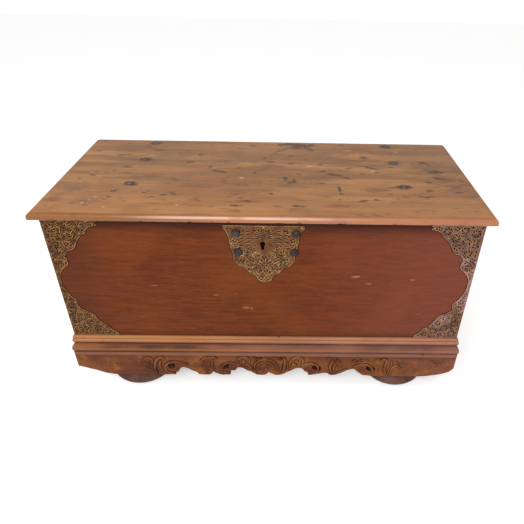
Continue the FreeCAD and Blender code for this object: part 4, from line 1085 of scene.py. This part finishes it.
# %% [markdown]
# No two of the leaves are quite alike, so each gouge stroke is drawn for itself, as a few points that
# a smooth curve passes through. Scoops are shallow bowls between the leaves. The four hollows are
# deep ones with a deeper core, where the gouge went in steeply from one side, and the finish paints
# that core dark as shade.

# %% Gouge strokes
STROKES = (              # half width of the ridge at its widest, then the points it passes
    # from the left: a worn leaf, the boss and the long S stem
    (2.6, (-566, 73), (-553, 71), (-540, 69), (-534, 64)), (2.6, (-564, 68), (-566, 52), (-572, 37)),
    (3.2, (-548, 66), (-550, 50), (-556, 29)), (2.4, (-535, 61), (-536, 44), (-541, 25)),
    (3.4, (-411, 51), (-404, 69), (-391, 76), (-380, 71), (-378, 54), (-385, 38), (-398, 31)),
    (3.6, (-401, 35), (-392, 23), (-382, 21)), (4.2, (-398, 52), (-395, 52)),
    (5.6, (-369, 8), (-373, 29), (-369, 53), (-360, 71), (-348, 79), (-339, 75)),
    (3.0, (-347, 66), (-355, 52), (-354, 32), (-347, 18)),
    # the first hollow and the shell
    (3.4, (-265, 49), (-285, 56), (-306, 59), (-326, 53), (-339, 37), (-337, 19), (-324, 10)),
    (3.4, (-331, 14), (-320, 8), (-309, 7)), (2.8, (-200, 14), (-211, 33), (-219, 49)),
    (2.8, (-198, 17), (-206, 40), (-213, 60)), (2.8, (-196, 18), (-200, 42), (-203, 66)),
    (2.8, (-193, 19), (-193, 42), (-192, 66)), (3.4, (-177, 20), (-182, 36), (-182, 54), (-177, 69)),
    (4.0, (-218, 67), (-204, 77), (-188, 80), (-175, 81), (-166, 76)),
    # the second hollow and the left rosette
    (3.4, (-81, 37), (-95, 48), (-113, 54), (-131, 55), (-144, 48), (-150, 34), (-147, 21)),
    (4.2, (-144, 16), (-134, 10), (-126, 9)), (4.6, (-80, 64), (-77, 64)),
    (3.2, (-97, 55), (-97, 71), (-85, 81), (-70, 81), (-59, 72), (-60, 57)),
    (3.4, (-84, 44), (-70, 36), (-58, 27), (-48, 19)), (4.6, (-70, 50), (-61, 43), (-53, 35)),
    (4.6, (-44, 81), (-38, 69), (-40, 47), (-43, 25), (-38, 10)), (3.4, (-28, 66), (-18, 73), (-6, 75)),
    # the volute in the middle
    (2.8, (-23, 25), (-22, 43), (-7, 50), (6, 42), (8, 27)),
    (3.2, (-33, 22), (-31, 46), (-14, 59), (6, 58), (20, 44), (23, 25)),
    (3.4, (-43, 25), (-41, 50), (-26, 67), (-4, 71), (16, 66), (31, 48), (35, 22)),
    (4.8, (-7, 29), (-4, 29)), (3.0, (13, 77), (24, 81), (35, 76)),
    (4.8, (54, 83), (58, 70), (58, 48), (55, 28), (49, 13)), (3.4, (67, 59), (69, 43), (65, 26)),
    # the right rosette and the third hollow
    (4.8, (95, 65), (98, 65)),
    (3.4, (73, 36), (75, 60), (85, 77), (98, 83), (112, 80), (119, 68), (115, 55)),
    (4.4, (81, 47), (88, 53), (96, 47)),
    (3.4, (112, 45), (129, 54), (147, 56), (162, 49), (170, 34), (165, 17), (154, 11)),
    (3.0, (142, 8), (148, 8), (156, 10)),
    # the sprig
    (5.0, (216, 14), (209, 36), (211, 56), (217, 70), (213, 81), (201, 82)),
    (3.4, (214, 83), (223, 81), (227, 72)), (3.8, (221, 20), (222, 43), (229, 58), (242, 62)),
    (2.8, (225, 56), (231, 69), (233, 76)), (3.0, (229, 14), (248, 23), (266, 32)),
    # the fourth hollow and the leaf fan
    (3.4, (288, 42), (307, 52), (329, 52), (345, 42), (353, 25), (347, 11), (334, 7)),
    (2.8, (296, 66), (316, 63), (330, 72)),
    (4.4, (404, 3), (393, 24), (392, 49), (396, 66), (388, 78), (375, 72)),
    (3.6, (409, 5), (408, 29), (414, 47), (412, 70)), (3.6, (412, 13), (416, 37), (428, 50), (443, 41)),
    (2.6, (418, 56), (427, 64), (435, 57)),
    # two worn scrolls at the right end
    (3.4, (544, 26), (540, 51), (544, 69), (558, 72), (570, 58)), (2.6, (550, 37), (552, 54), (561, 56)),
    (3.2, (601, 81), (586, 79), (582, 65), (590, 46), (604, 41)), (2.4, (597, 70), (596, 59), (606, 53)))
SCOOPS = (               # u, v, half length, half width, turn, depth
    (-26, 78, 14, 7, 0, 8), (-2, 82, 10, 4, 0, 6), (45, 76, 8, 11, 0, 8), (312, 76, 10, 6, 0, 6),
    (285, 73, 8, 5, 20, 4), (-231, 46, 18, 16, 10, 2.5), (559, 62, 8, 6, 0, 2.5), (-381, 60, 6, 9, 0, 5),
    (-268, 70, 9, 4, 20, 2), (232, 48, 6, 9, 0, 2.5), (-14, 18, 7, 5, 0, 3))
HOLLOWS = ((-301, 36, -1), (-122, 35, -1), (145, 31, 1), (326, 30, 1))    # u, v, side of the deep core, which the finish paints dark as shade
print(len(STROKES), "strokes,", len(SCOOPS), "scoops and", len(HOLLOWS), "hollows")

# %% [markdown]
# The carver works from the deep to the fine, and so does this cell: hollows first, then the ground
# sinks round every stroke, and last the strokes are raised. A stroke swells in its middle, and it is
# flatter near the ends of the apron, where two centuries of feet and brooms have worn it.

# %% Carving the apron
ENDS = 500               # strokes farther than this from the middle are the worn ones


def smooth_curve(points, steps=9):
    """A curve through the points that turns evenly between them (Catmull and Rom's)."""
    knots = np.array([points[0], *points, points[-1]], float)
    line = []
    for before, start, end, after in zip(knots, knots[1:], knots[2:], knots[3:]):
        bend = 2 * before - 5 * start + 4 * end - after
        twist = 3 * start - before - 3 * end + after
        for step in range(steps):
            t = step / steps
            line.append(0.5 * (2 * start + (end - before) * t + bend * t ** 2 + twist * t ** 3))
    return np.array(line + [knots[-1]])


def left_of(points):
    """How much of a stroke's depth two centuries have left: less near the ends of the apron."""
    return 0.35 if abs(points[0][0]) > ENDS else 1.0


def carve_apron(relief):
    for scoop in SCOOPS:
        relief.hollow(*scoop)
    for u, v, side in HOLLOWS:
        relief.hollow(u, v, 27, 15, -6 * side, 5.6, slope=0.25 * side)
        relief.hollow(u + side * 18, v + 1, 13 if side < 0 else 17, 13, 0, 13.0)
        relief.hollow(u + side * 10, v + 10, 18, 4.5, -8 * side, 9.0)
    for _, *points in STROKES:
        relief.sink(smooth_curve(points), 9.0, 2.6 * left_of(points))
    for wide, *points in STROKES:
        widths = (0.45 * wide, wide, wide, 0.5 * wide) if len(points) > 2 else (wide, wide)
        left = left_of(points)
        relief.ridge(smooth_curve(points), widths, 0.5 * wide * left, (1.2 + 0.6 * wide) * left)


apron_relief = Relief((-APRON_HALF, 0), (APRON_HALF, APRON_TALL), 1.35, groove=1.9)
carve_apron(apron_relief)
apron_relief.trim(apron_outline)
print("carving from", round(apron_relief.height.min(), 1), "to", round(apron_relief.height.max(), 1), "mm")

# %% [markdown]
# The carving's finish reads the attributes of the relief: every groove and hollow gets painted shade,
# darker the deeper it lies, and the ridges get painted highlights in patches. The right end carries a
# painted pink reflection. The side aprons have the same wood without carving.

# %% Finish: apron
APRON_THICK = (apron_high.y - apron_low.y) / MM
# painted shade by depth below the face: from and to in mm, strength and paint
SHADE_BY_DEPTH = ((0.6, 2.6, 0.35, (76, 38, 18)), (2.8, 4.8, 0.6, (104, 46, 24)), (6.0, 9, 0.95, (20, 9, 5)))


def apron_extra(add, place, colour, height, rough):
    x, _, z = add.axes(place)
    top = apron_high.z
    recess, crest, sunk = map(add.painted, ("recess", "crest", "sunk"))
    colour = add.paints(
        colour, (add.patches(place, 7.0, 4, 0.4, 0.68), 0.65, (140, 84, 34)),
        # a painted pink reflection that grows towards the right end
        (add.ease(x, 0.3, 0.62), 0.4, (132, 78, 64)),
        (add.ease(z, top - 14 * MM, top - 2 * MM), 0.55, (78, 44, 28)),
        (add.patches(place, 26.0, 4, 0.5, 0.68, 0.5), 0.6, (78, 42, 22)),
        (add.patches(place, 21.0, 3, 0.56, 0.7), 0.55, (154, 94, 38)),
        # painted shade: darker the deeper a point lies, black in the cores of the hollows, and dark in every
        # groove
        *((add.ease(sunk, low, high), strength, tint) for low, high, strength, tint in SHADE_BY_DEPTH),
        (recess, 0.8, (40, 20, 10)),
        # painted highlights on the ridges, in patches
        (add.times(crest, add.patches(place, 14.0, 3, 0.4, 0.7)), 0.5, (172, 114, 66)))
    return colour, height, rough


def on_apron(u, v, height):
    """The ends are mitred: the deeper a point lies, the nearer to the middle it has to stay."""
    reach = APRON_HALF - max(0, -height)
    return (max(-reach, min(reach, u)) * MM, apron_low.y - height * MM, apron_low.z + v * MM)


APRON = {"dark": (98, 48, 20), "light": (126, 70, 30), "shine": 0.15}
apron_finish = wood_finish("apron_teak", gloss=0.36, extra=apron_extra, **APRON)
apron_side_finish = wood_finish("apron_side_teak", gloss=0.4, grain_along_y=True, **APRON)
apron_shape = relief_solid(apron_relief, APRON_THICK, on_apron, blur=4, depth=1.5, flat_back=True)
make_piece("apron_front_carved", apron_shape, "carcass", apron_finish, "apron_wood", "apron_front", crease=70)
for side in ("left", "right"):
    eased("apron_" + side, "carcass", apron_side_finish, "apron_wood", width=1.0)

# %% [markdown]
# ## Bun feet
#
# A bun foot is turned on a lathe, so its half section is spun round its axis. The section is a wire
# of bowed stretches: the flat sole, the round bun, a neck, and the spigot that goes up into the
# corner block. A sine of the height leaves the fine rings of the turning tool.

# %% Feet
FOOT_SECTION = bowed(((0, 0), (82, 0), (106, 26, -5), (78, 50, -4), (52, 66, -2), (60, 77), (60, 88),
                      (13, 88), (13, 126), (0, 126)), steps=9)
FOOT_STEPS = 64
TOOL_RINGS = 1900.0      # radians per metre of height, which is a ring every 3.3 mm


def spun(section, centre, steps):
    """Spins a section of (radius, height) in mm round an upright axis at centre."""
    shape = bmesh.new()
    line = [shape.verts.new((centre[0] + radius * MM, centre[1], centre[2] + height * MM))
            for radius, height in section]
    edges = [shape.edges.new(pair) for pair in zip(line, line[1:])]
    bmesh.ops.spin(shape, geom=line + edges, cent=centre, axis=(0, 0, 1), angle=math.tau, steps=steps,
                   use_merge=True)
    bmesh.ops.remove_doubles(shape, verts=shape.verts, dist=0.005 * MM)
    bmesh.ops.recalc_face_normals(shape, faces=shape.faces)
    return shape


def foot_extra(add, place, colour, height, rough):
    z = add.axes(place)[2]
    rings = add.maths("SINE", add.times(z, TOOL_RINGS))
    colour = add.paints(colour, (add.patches(place, 16.0, 5, 0.5, 0.7), 0.4, (112, 82, 62)),
                        (add.ease(z, 0.02, 0.004), 0.6, (48, 38, 32)))
    return colour, add.maths("MULTIPLY_ADD", rings, 0.12, height), rough


foot_finish = wood_finish("foot_teak", (84, 54, 44), (118, 80, 66), upright=True, gloss=0.5, shine=0.15,
                          extra=foot_extra)
for node in sorted(n for n in frame["nodes"] if n.startswith("foot_")):
    low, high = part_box(node)
    middle = (low + high) / 2
    make_piece(node + "_turned", spun(FOOT_SECTION, (middle.x, middle.y, low.z), FOOT_STEPS), "carcass",
               foot_finish, "foot_wood", node)

# %% [markdown]
# ## Old metal
#
# Brass that nobody polishes goes brown, with dark dirt in every hollow, and the crests of its strands
# are paler, a painted highlight that also stands for rubbing. The corner mounts carry a painted pink
# reflection towards the right end. Iron goes blue-black and pits, and its eased edges are worn
# brighter. Both finishes share one group, which gives clouds of tarnish, fine specks and the height of
# the pits. The metals are only partly metallic, because wax and dirt lie over them.

# %% Group: old metal


def make_tarnish_group():
    add, given, result = new_group("tarnish", [("Vector", "Vector", None)], ("Clouds", "Specks", "Pits"))
    place = given["Vector"]
    add.join(result.inputs["Clouds"], add.patches(place, 45.0, 4, 0.36, 0.64, 0.5))
    add.join(result.inputs["Specks"], add.patches(place, 260.0, 2, 0.52, 0.72))
    add.join(result.inputs["Pits"], add.noise(place, 190.0, 4))
    return add.tree


tarnish_group = make_tarnish_group()


def metal_finish(name, dull, mid, bright, dirt, metallic, gloss, pit_depth=0.25, pink_reflection=False, ruddy=None):
    finish, add, shader, place = new_finish(name, 0.25)
    tarnish = add.use(tarnish_group, {"Vector": place})
    recess, crest, worn = map(add.painted, ("recess", "crest", "worn"))
    colour = add.blend(tarnish["Clouds"], paint(*dull), paint(*mid))
    # a painted pink reflection towards the right end, in patches
    if pink_reflection:
        patchy = add.ease(add.noise(place, 9.0, 2), 0.42, 0.58, 0.35, 1.0)
        colour = add.paints(colour, (add.ease(add.axes(place)[0], 0.2, 0.58), patchy, (164, 128, 126)))
    colour = add.paints(colour, (tarnish["Specks"], 0.35, dirt))
    if ruddy:
        colour = add.paints(colour, (add.patches(place, 24.0, 2, 0.5, 0.62), 0.7, ruddy))
    # crests paler: painted highlight and rubbing on the brass strands; eased edges worn brighter on the iron
    crest = add.times(crest, add.ease(add.noise(place, 85.0, 3), 0.36, 0.62, 0.15, 1.0))
    highlight_and_wear = add.maths("MAXIMUM", add.times(crest, 0.9), add.times(worn, 0.5))
    add.join(shader["Base Color"], add.paints(colour, (highlight_and_wear, 1.0, bright), (recess, 1.0, dirt)))
    shader["Metallic"].default_value = metallic
    rough = add.maths("MULTIPLY_ADD", tarnish["Clouds"], -0.12, gloss + 0.1)
    add.join(shader["Roughness"], add.maths("MULTIPLY_ADD", recess, 0.3, rough))
    bump = add.put("Bump", {"Height": tarnish["Pits"], "Strength": pit_depth, "Distance": 0.5 * MM})
    add.join(shader["Normal"], bump.outputs[0])
    return finish


brass_finish = metal_finish("old_brass", (58, 32, 11), (94, 57, 24), (190, 140, 80), (34, 16, 8),
                            0.3, 0.42, pink_reflection=True, ruddy=(86, 48, 26))
plate_finish = metal_finish("escutcheon_brass", (80, 48, 22), (108, 70, 34), (206, 162, 106), (36, 18, 8),
                            0.3, 0.4, ruddy=(106, 56, 26))
pin_finish = metal_finish("bright_brass", (128, 88, 52), (166, 122, 80), (220, 180, 140), (70, 44, 26),
                          0.6, 0.32)
iron_finish = metal_finish("dark_iron", (48, 40, 40), (68, 58, 56), (112, 98, 92), (30, 22, 20),
                           0.35, 0.5, pit_depth=0.6)
rivet_finish = metal_finish("worn_iron", (96, 82, 78), (136, 120, 114), (184, 166, 156), (60, 48, 42),
                            0.25, 0.5)
# a near-black film under the brass: dirt and old wax, and painted shade in the piercings and round the
# outlines
dirt_shadow_finish = wood_finish("grime_under_brass", (44, 23, 14), (62, 34, 20), gloss=0.7, shine=0.1)
print("tarnish gives", [s.name for s in tarnish_group.interface.items_tree if s.in_out == "OUTPUT"])

# %% [markdown]
# ## Pierced brass
#
# The mounts are thin sheet, sawn through with a piercing saw and then chased from the front. The
# pattern is packed: the largest whorl that fits is set in the widest free place, then the next, down
# to single commas in the corners, as an ornament drawer fills a field. A whorl is a ring of curved
# slots that sweep the same way.

# %% Filling a field with whorls
BRASS = 1.6              # thickness of the sheet
SMALLEST, MOST = 2.6, 400                       # radius of the smallest whorl, and how many there may be
WEB, SLOT_WIDTH = 1.2, 2.3
STRAND_WIDTHS = (0.9, 1.6, 1.6, 1.6, 0.9)


def slot_comma(relief, u, v, heading, length, turn, width):
    relief.pierce(scroll(u, v, heading, length, turn, 0.3, steps=8),
                  (0.45 * width, width, 0.8 * width, 0.3 * width))


def whorl(relief, u, v, radius, start, spin, pitch):
    if radius < 6:
        length = 1.3 * radius
        angle = math.radians(start)
        slot_comma(relief, u - length / 2 * math.cos(angle), v - length / 2 * math.sin(angle),
                   start - spin * 25, length, spin * 60, SLOT_WIDTH)
        return
    count = max(3, round(math.tau * 0.62 * radius / pitch))
    for step in range(count):
        turn = start + 360 * step / count
        angle = math.radians(turn)
        slot_comma(relief, u + 0.36 * radius * math.cos(angle), v + 0.36 * radius * math.sin(angle),
                   turn + spin * 28, 0.66 * radius, spin * 85, SLOT_WIDTH)
    if radius > 9:
        relief.pierce([(u, v)], (1.1,))
    ring = np.hypot(relief.u - u, relief.v - v) - radius
    relief.height += 0.5 * np.exp(-(ring / 1.2) ** 2)


def fill_with_whorls(relief, room, largest, pitch, dice, mirror_at=None):
    """room is how far each point is from what must stay whole."""
    for _ in range(MOST):
        score = np.where(room > largest, 2 * largest - room, room)
        spot = np.unravel_index(np.argmax(score), score.shape)
        if score[spot] < SMALLEST:
            return
        u, v, radius = relief.u[spot], relief.v[spot], min(room[spot], largest)
        start, spin = dice.uniform(0, 360), dice.choice((-1, 1))
        whorl(relief, u, v, radius, start, spin, pitch)
        if mirror_at is not None:
            whorl(relief, 2 * mirror_at - u, v, radius, 180 - start, -spin, pitch)
        room = np.minimum(room, np.hypot(relief.u - u, relief.v - v) - radius - WEB)


def keep_whole(relief, room, places):
    for u, v, radius in places:
        room = np.minimum(room, np.hypot(relief.u - u, relief.v - v) - radius)
    return room


def chase(relief, inside):
    """Rounds the strands towards their cuts, and raises a rim along the outline."""
    relief.height += 0.9 * (np.sqrt(np.clip(relief.solid / 1.7, 0, 1)) - 1)
    relief.height += 0.25 * np.exp(-((inside - 1.5) / 1.0) ** 2) - 0.35 * np.exp(-((inside - 3.6) / 0.8) ** 2)


print("the sheet is", BRASS, "mm thick")

# %% [markdown]
# A corner mount wraps round the front edge, so it has two wings of one outline. They are drawn as
# distances from the corner and shares of the height. Long scrolls run through the net, and a small
# ringed ear ends the upper tip.

# %% Shape of a corner mount
mount_low, mount_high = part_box("corner_mount_right")
MOUNT_WIDE, MOUNT_TALL = 150, (mount_high.z - mount_low.z) / MM
MOUNT_OUTLINE = (        # distance from the corner, share of the height, rise
    (148, 1), (146, 0.96, 7), (120, 0.935, -2.5), (104, 0.89, 3), (78, 0.8, -3), (58, 0.765, 3),
    (39, 0.715, -2), (44, 0.68, 2), (37, 0.635, 2.5), (9.5, 0.545, -4), (9.5, 0.48), (20, 0.405, -2),
    (38, 0.345, -3), (36, 0.29, 3), (62, 0.235, -3), (82, 0.185, 3), (104, 0.11, -3), (122, 0.06, 3),
    (137, 0.032, -1), (137, 0, 4))
MOUNT_PINS = (
    (140, 0.975), (98, 0.9), (55, 0.79), (36, 0.68), (5, 0.59), (5, 0.45), (32, 0.32), (72, 0.195),
    (102, 0.085), (6, 0.96))
EAR, EAR_RING = (136, 0.972 * MOUNT_TALL), 4.6
MOUNT_SCROLLS = (        # long strands through the net: distance from the corner, share of the height
    ((126, 0.965), (104, 0.93), (84, 0.87), (62, 0.835), (46, 0.865), (52, 0.915), (68, 0.915)),
    ((10, 0.975), (22, 0.91), (42, 0.85), (47, 0.79), (36, 0.76), (26, 0.79), (30, 0.825)),
    ((9, 0.88), (18, 0.8), (22, 0.72), (13, 0.65), (8, 0.56)), ((84, 0.965), (92, 0.93), (80, 0.905)),
    ((36, 0.96), (48, 0.94), (44, 0.90)),
    ((122, 0.03), (102, 0.065), (80, 0.13), (60, 0.165), (46, 0.13), (52, 0.085), (68, 0.08)),
    ((10, 0.025), (22, 0.09), (42, 0.155), (46, 0.215), (34, 0.245), (25, 0.21), (30, 0.18)),
    ((9, 0.12), (17, 0.2), (25, 0.29), (15, 0.37), (8, 0.45)), ((86, 0.035), (94, 0.065), (82, 0.09)))
mount_outline = bowed([(d, share * MOUNT_TALL, *rise) for d, share, *rise in MOUNT_OUTLINE], steps=6)
mount_outline += [(-BRASS, 0), (-BRASS, MOUNT_TALL)]
print("a wing of a mount is", MOUNT_WIDE, "by", round(MOUNT_TALL, 1), "mm")

# %% [markdown]
# Each wing is pierced on its own seed, so that its net differs from the other's, and a strip along
# the corner stays whole, because the sheet is bent there. The two wings of a side are one piece.

# %% Piercing the corner mounts


def mount_relief(seed):
    relief = Relief((-BRASS, 0), (MOUNT_WIDE, MOUNT_TALL), 1.15)
    inside = relief.trim(mount_outline)
    pins = [(d, share * MOUNT_TALL, 4.5) for d, share in MOUNT_PINS[:-1]]
    room = np.minimum(keep_whole(relief, inside - 2.6, pins), relief.u - 2.5)
    fill_with_whorls(relief, room, 17.0, 9.5, random.Random(seed))
    relief.pierce([EAR], (2.8,))
    chase(relief, inside)
    for points in MOUNT_SCROLLS:
        relief.strand(smooth_curve([(d, share * MOUNT_TALL) for d, share in points]), STRAND_WIDTHS, 1.0, 0.5)
    ring = scroll(EAR[0] + EAR_RING, EAR[1], 90, math.tau * EAR_RING, 360, steps=24)
    relief.ridge(ring, (1.1, 1.1), 0.7, 0.3)
    return relief


def on_front(sign):
    return lambda d, v, height: (sign * (half_width - d * MM), face_y - (BRASS + height) * MM,
                                 mount_low.z + v * MM)


def on_end(sign):
    return lambda d, v, height: (sign * (half_width + (BRASS + height) * MM), face_y + d * MM,
                                 mount_low.z + v * MM)


def joined(first, second):
    """One bmesh that holds both shapes."""
    carrier = bpy.data.meshes.new("carrier")
    second.to_mesh(carrier)
    second.free()
    first.from_mesh(carrier)
    bpy.data.meshes.remove(carrier)
    return first


front_wing, end_wing = mount_relief(11), mount_relief(12)
for side, sign in (("left", -1), ("right", 1)):
    mount = joined(relief_solid(front_wing, BRASS, on_front(sign), blur=2, depth=0.3),
                   relief_solid(end_wing, BRASS, on_end(sign), blur=2, depth=0.3))
    make_piece(f"corner_mount_{side}_pierced", mount, "carcass", brass_finish, "old_brass",
               "corner_mount_" + side, crease=60)

# %% [markdown]
# The escutcheon round the keyhole is the showpiece. It is the same on both sides of its middle: a
# sunburst of slits above the keyhole, rows of slits beside it, a plain place below for the key, and a
# net of whorls down to its tip. Places for the four bolts and for the pins stay whole.

# %% Shape of the escutcheon
plate_low, plate_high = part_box("escutcheon")
PLATE_HALF, PLATE_DROP = 113.0, 191.0
plate_middle = (plate_low.x + plate_high.x) / 2 / MM
plate_top = plate_high.z / MM
PLATE_OUTLINE = (        # share of the half width, share of the drop, rise
    (0.985, 0), (0.99, 0.055, 4.5), (0.92, 0.126, -1.5), (0.865, 0.24, -1.5), (0.83, 0.34, 1.5),
    (0.81, 0.435, 1.5), (0.78, 0.55, -1.5), (0.725, 0.63, 3), (0.63, 0.696, 1.5), (0.46, 0.765, -2.5),
    (0.29, 0.848, 2.5), (0.19, 0.932, -2.5), (0.09, 0.984, 3), (0, 1, 0.8))
PLATE_PINS = ((0.93, 0.03), (0.8, 0.3), (0.69, 0.62), (0.37, 0.79))
BOLTS = ((3 - 83.75, 591.4), (3 + 83.75, 591.4), (3 - 79.5, 530.8), (3 + 79.5, 530.8))
LYRE = (                 # raised strands of the net, from the middle and the height
    ((46, 536), (36, 520), (23, 508), (11, 500), (3, 488)),
    ((22, 512), (32, 520), (28, 530), (17, 531), (12, 523)), ((62, 510), (45, 502), (29, 493), (13, 477)),
    ((45, 502), (52, 512), (62, 520), (70, 514)), ((84, 514), (68, 496), (49, 480), (40, 486), (46, 493)),
    ((30, 472), (19, 459), (6, 451)), ((64, 486), (46, 470), (31, 457), (17, 445)),
    ((24, 486), (34, 480), (32, 471), (23, 471)))
SUNBURST = (-4.0, 583.0)
SPINE = (508, 494, 480, 466, 452)               # heights of the slots down the middle
PLAIN = ((*KEYHOLE, 25), (KEYHOLE[0], KEYHOLE[1] - 22, 14), (14, 570, 28), (40, 580, 22), (52, 562, 18))


def on_plate(share, drop):
    return (plate_middle + share * PLATE_HALF, plate_top - drop * PLATE_DROP)


plate_outline = bowed([(*on_plate(share, drop), *rise) for share, drop, *rise in PLATE_OUTLINE], steps=6)
plate_outline += [(2 * plate_middle - x, z) for x, z in reversed(plate_outline[:-1])]
plate_pins = [on_plate(side * share, drop) for share, drop in PLATE_PINS for side in (-1, 1)]
plate_pins += [on_plate(0, 0.96), on_plate(0, 0.035)]
print("the escutcheon has", len(plate_pins), "pins and", len(BOLTS), "bolts")

# %% [markdown]
# The piercing goes in the order of the saw: the net first, then the slits round the keyhole and down
# the middle, and last the keyhole itself, after the raised strands have been laid over the net.

# %% Piercing the escutcheon


def pierce_keyhole_field(relief):
    u, v = SUNBURST
    for angle in range(-24, 205, 19):
        lean = math.radians(angle)
        slot_comma(relief, u + 12 * math.cos(lean), v + 10 * math.sin(lean), angle, 17,
                   22 if angle < 90 else -22, 1.75)
    for side in (-1, 1):
        for row in range(5):
            for x, length in ((36, 17), (57, 13), (20, 11))[:3 if row > 2 else 2]:
                slot_comma(relief, u + side * (x + 2 * (row % 2)), 598 - 11.5 * row, 90 - side * 76,
                           length, -side * 55, 1.7)


def pierce_keyhole(relief, round_part, leg):
    relief.pierce([KEYHOLE], (round_part,))
    relief.pierce([(KEYHOLE[0], KEYHOLE[1] - drop) for drop in (0, 8, 15)], (leg, 0.85 * leg))


def plate_relief():
    relief = Relief((plate_middle - PLATE_HALF, plate_top - PLATE_DROP - 0.5),
                    (plate_middle + PLATE_HALF, plate_top), 1.0)
    inside = relief.trim(plate_outline)
    whole = [(x, z, 15.5) for x, z in BOLTS] + [(x, z, 4.5) for x, z in plate_pins] + list(PLAIN)
    whole += [(plate_middle, z, 4.5) for z in SPINE]
    room = keep_whole(relief, np.minimum(inside - 2.8, relief.u - plate_middle - 1.0), whole)
    room = np.minimum(room, plate_top - 11 - relief.v)
    fill_with_whorls(relief, room, 15.0, 9.0, random.Random(5), mirror_at=plate_middle)
    pierce_keyhole_field(relief)
    for z in SPINE:
        relief.pierce([(plate_middle, z + 2.0), (plate_middle, z), (plate_middle, z - 2.5)], (0.6, 1.9, 1.1))
    chase(relief, inside)
    for side in (-1, 1):
        for points in LYRE:
            line = smooth_curve([(plate_middle + side * x, z) for x, z in points])
            relief.strand(line, STRAND_WIDTHS, 1.0, 0.5)
    pierce_keyhole(relief, 7.6, 5.5)
    return relief


def on_front_board(x, z, height):
    return (x * MM, face_y - (BRASS + height) * MM, z * MM)


make_piece("escutcheon_pierced", relief_solid(plate_relief(), BRASS, on_front_board, blur=2, depth=0.3),
           "carcass", plate_finish, "old_brass", "escutcheon", crease=60)

# %% [markdown]
# A dark film lies under the brass, a sixth of a millimetre thick. It stands for dirt and old wax that
# creep out from under the brass and stain the wood, and it is also painted shade: it darkens the wood
# seen through the piercings and draws a dark line round every outline, as the brass's shadow would. A
# relief serves again: adding to its distance map moves the outline outwards, and the keyhole is left
# open in it.

# %% Film of dirt and painted shade under the brass
# the film's thickness, and how far it reaches past the brass as a dark line of dirt and painted shadow
FILM, DIRT_AND_SHADOW_REACH = 0.16, 2.2


def film(outline, low, high, place, keyhole=False):
    relief = Relief(low, high, 3.0)
    relief.solid = np.clip(relief.trim(outline) + DIRT_AND_SHADOW_REACH, -FAR, FAR)
    if keyhole:
        pierce_keyhole(relief, 10, 8)
    relief.height += FILM - BRASS
    return relief_solid(relief, BRASS, place)


mount_field = (mount_outline, (0.2 - BRASS, 0.2), (MOUNT_WIDE + DIRT_AND_SHADOW_REACH, MOUNT_TALL - 0.2))
plate_field = (plate_outline, (plate_middle - PLATE_HALF - DIRT_AND_SHADOW_REACH, plate_top - PLATE_DROP - DIRT_AND_SHADOW_REACH - 1),
               (plate_middle + PLATE_HALF + DIRT_AND_SHADOW_REACH, plate_top - 0.2))
for side, sign in (("left", -1), ("right", 1)):
    both = joined(film(*mount_field, on_front(sign)), film(*mount_field, on_end(sign)))
    make_piece(f"grime_{side}", both, "carcass", dirt_shadow_finish, "old_brass", crease=60)
make_piece("grime_middle", film(*plate_field, on_front_board, keyhole=True), "carcass", dirt_shadow_finish,
           "old_brass", crease=60)

# %% [markdown]
# ## Pins and bolts
#
# The brass is held by small round-headed pins, and the lock by four large iron bolts with forged
# domes. Both are a squashed sphere on a shank, turned to point out of the board.

# %% Studs
PIN = (3.2, 1.6, 1, 7, 10)       # radius and height of the head, radius and length of the shank, sides
BOLT = (12.3, 7.5, 4, 26, 24)
PIN_SEAT = 0.2                   # how far a pin's head stands off the brass


def stud(shape, place, outward, radius, height, shank_radius, shank_length, sides):
    turn = Vector(outward).to_track_quat("Z", "Y").to_matrix().to_4x4()
    squash = Matrix.Diagonal((radius * MM, radius * MM, height * MM, 1))
    bmesh.ops.create_uvsphere(shape, u_segments=sides, v_segments=sides // 2 + 2, radius=1,
                              matrix=Matrix.Translation(place) @ turn @ squash)
    behind = Matrix.Translation(Vector(place) - Vector(outward) * shank_length * MM / 2)
    bmesh.ops.create_cone(shape, cap_ends=True, segments=8, radius1=0.4 * shank_radius * MM,
                          radius2=shank_radius * MM, depth=shank_length * MM, matrix=behind @ turn)


def studs(places, outward, sizes, shape=None):
    shape = shape or bmesh.new()
    for place in places:
        stud(shape, place, outward, *sizes)
    return shape


for side, sign in (("left", -1), ("right", 1)):
    on_wings = [[wing(d, share * MOUNT_TALL, PIN_SEAT) for d, share in MOUNT_PINS]
                for wing in (on_front(sign), on_end(sign))]
    mount_pins = studs(on_wings[1], (sign, 0, 0), PIN, studs(on_wings[0], (0, -1, 0), PIN))
    make_piece(f"corner_pins_{side}_domed", mount_pins, "carcass", pin_finish, "bright_brass",
               "corner_pins_" + side)
pins = studs([on_front_board(x, z, PIN_SEAT) for x, z in plate_pins], (0, -1, 0), PIN)
bolts = studs([on_front_board(x, z, 0) for x, z in BOLTS], (0, -1, 0), BOLT)
make_piece("escutcheon_pins_domed", pins, "carcass", pin_finish, "bright_brass", "escutcheon_pins")
make_piece("escutcheon_bolts_domed", bolts, "carcass", iron_finish, "dark_iron", "escutcheon_bolts",
           crease=60)

# %% [markdown]
# ## Ironwork
#
# The hinges, the lock and the handles are forged and filed iron. They keep their packed shape, with
# the sharp edges eased, and each rides on the body that carries it.

# %% Hinges, lock and handles
body_of = {node: body for body, nodes in frame["record"]["behaviour"]["bodies"].items() for node in nodes}
for node in sorted(body_of):
    if node.startswith(("hinge_", "lock_", "handle_")):
        finish = rivet_finish if node == "hinge_rivets" else iron_finish
        eased(node, body_of[node], finish, "dark_iron", width=0.4)

# %% [markdown]
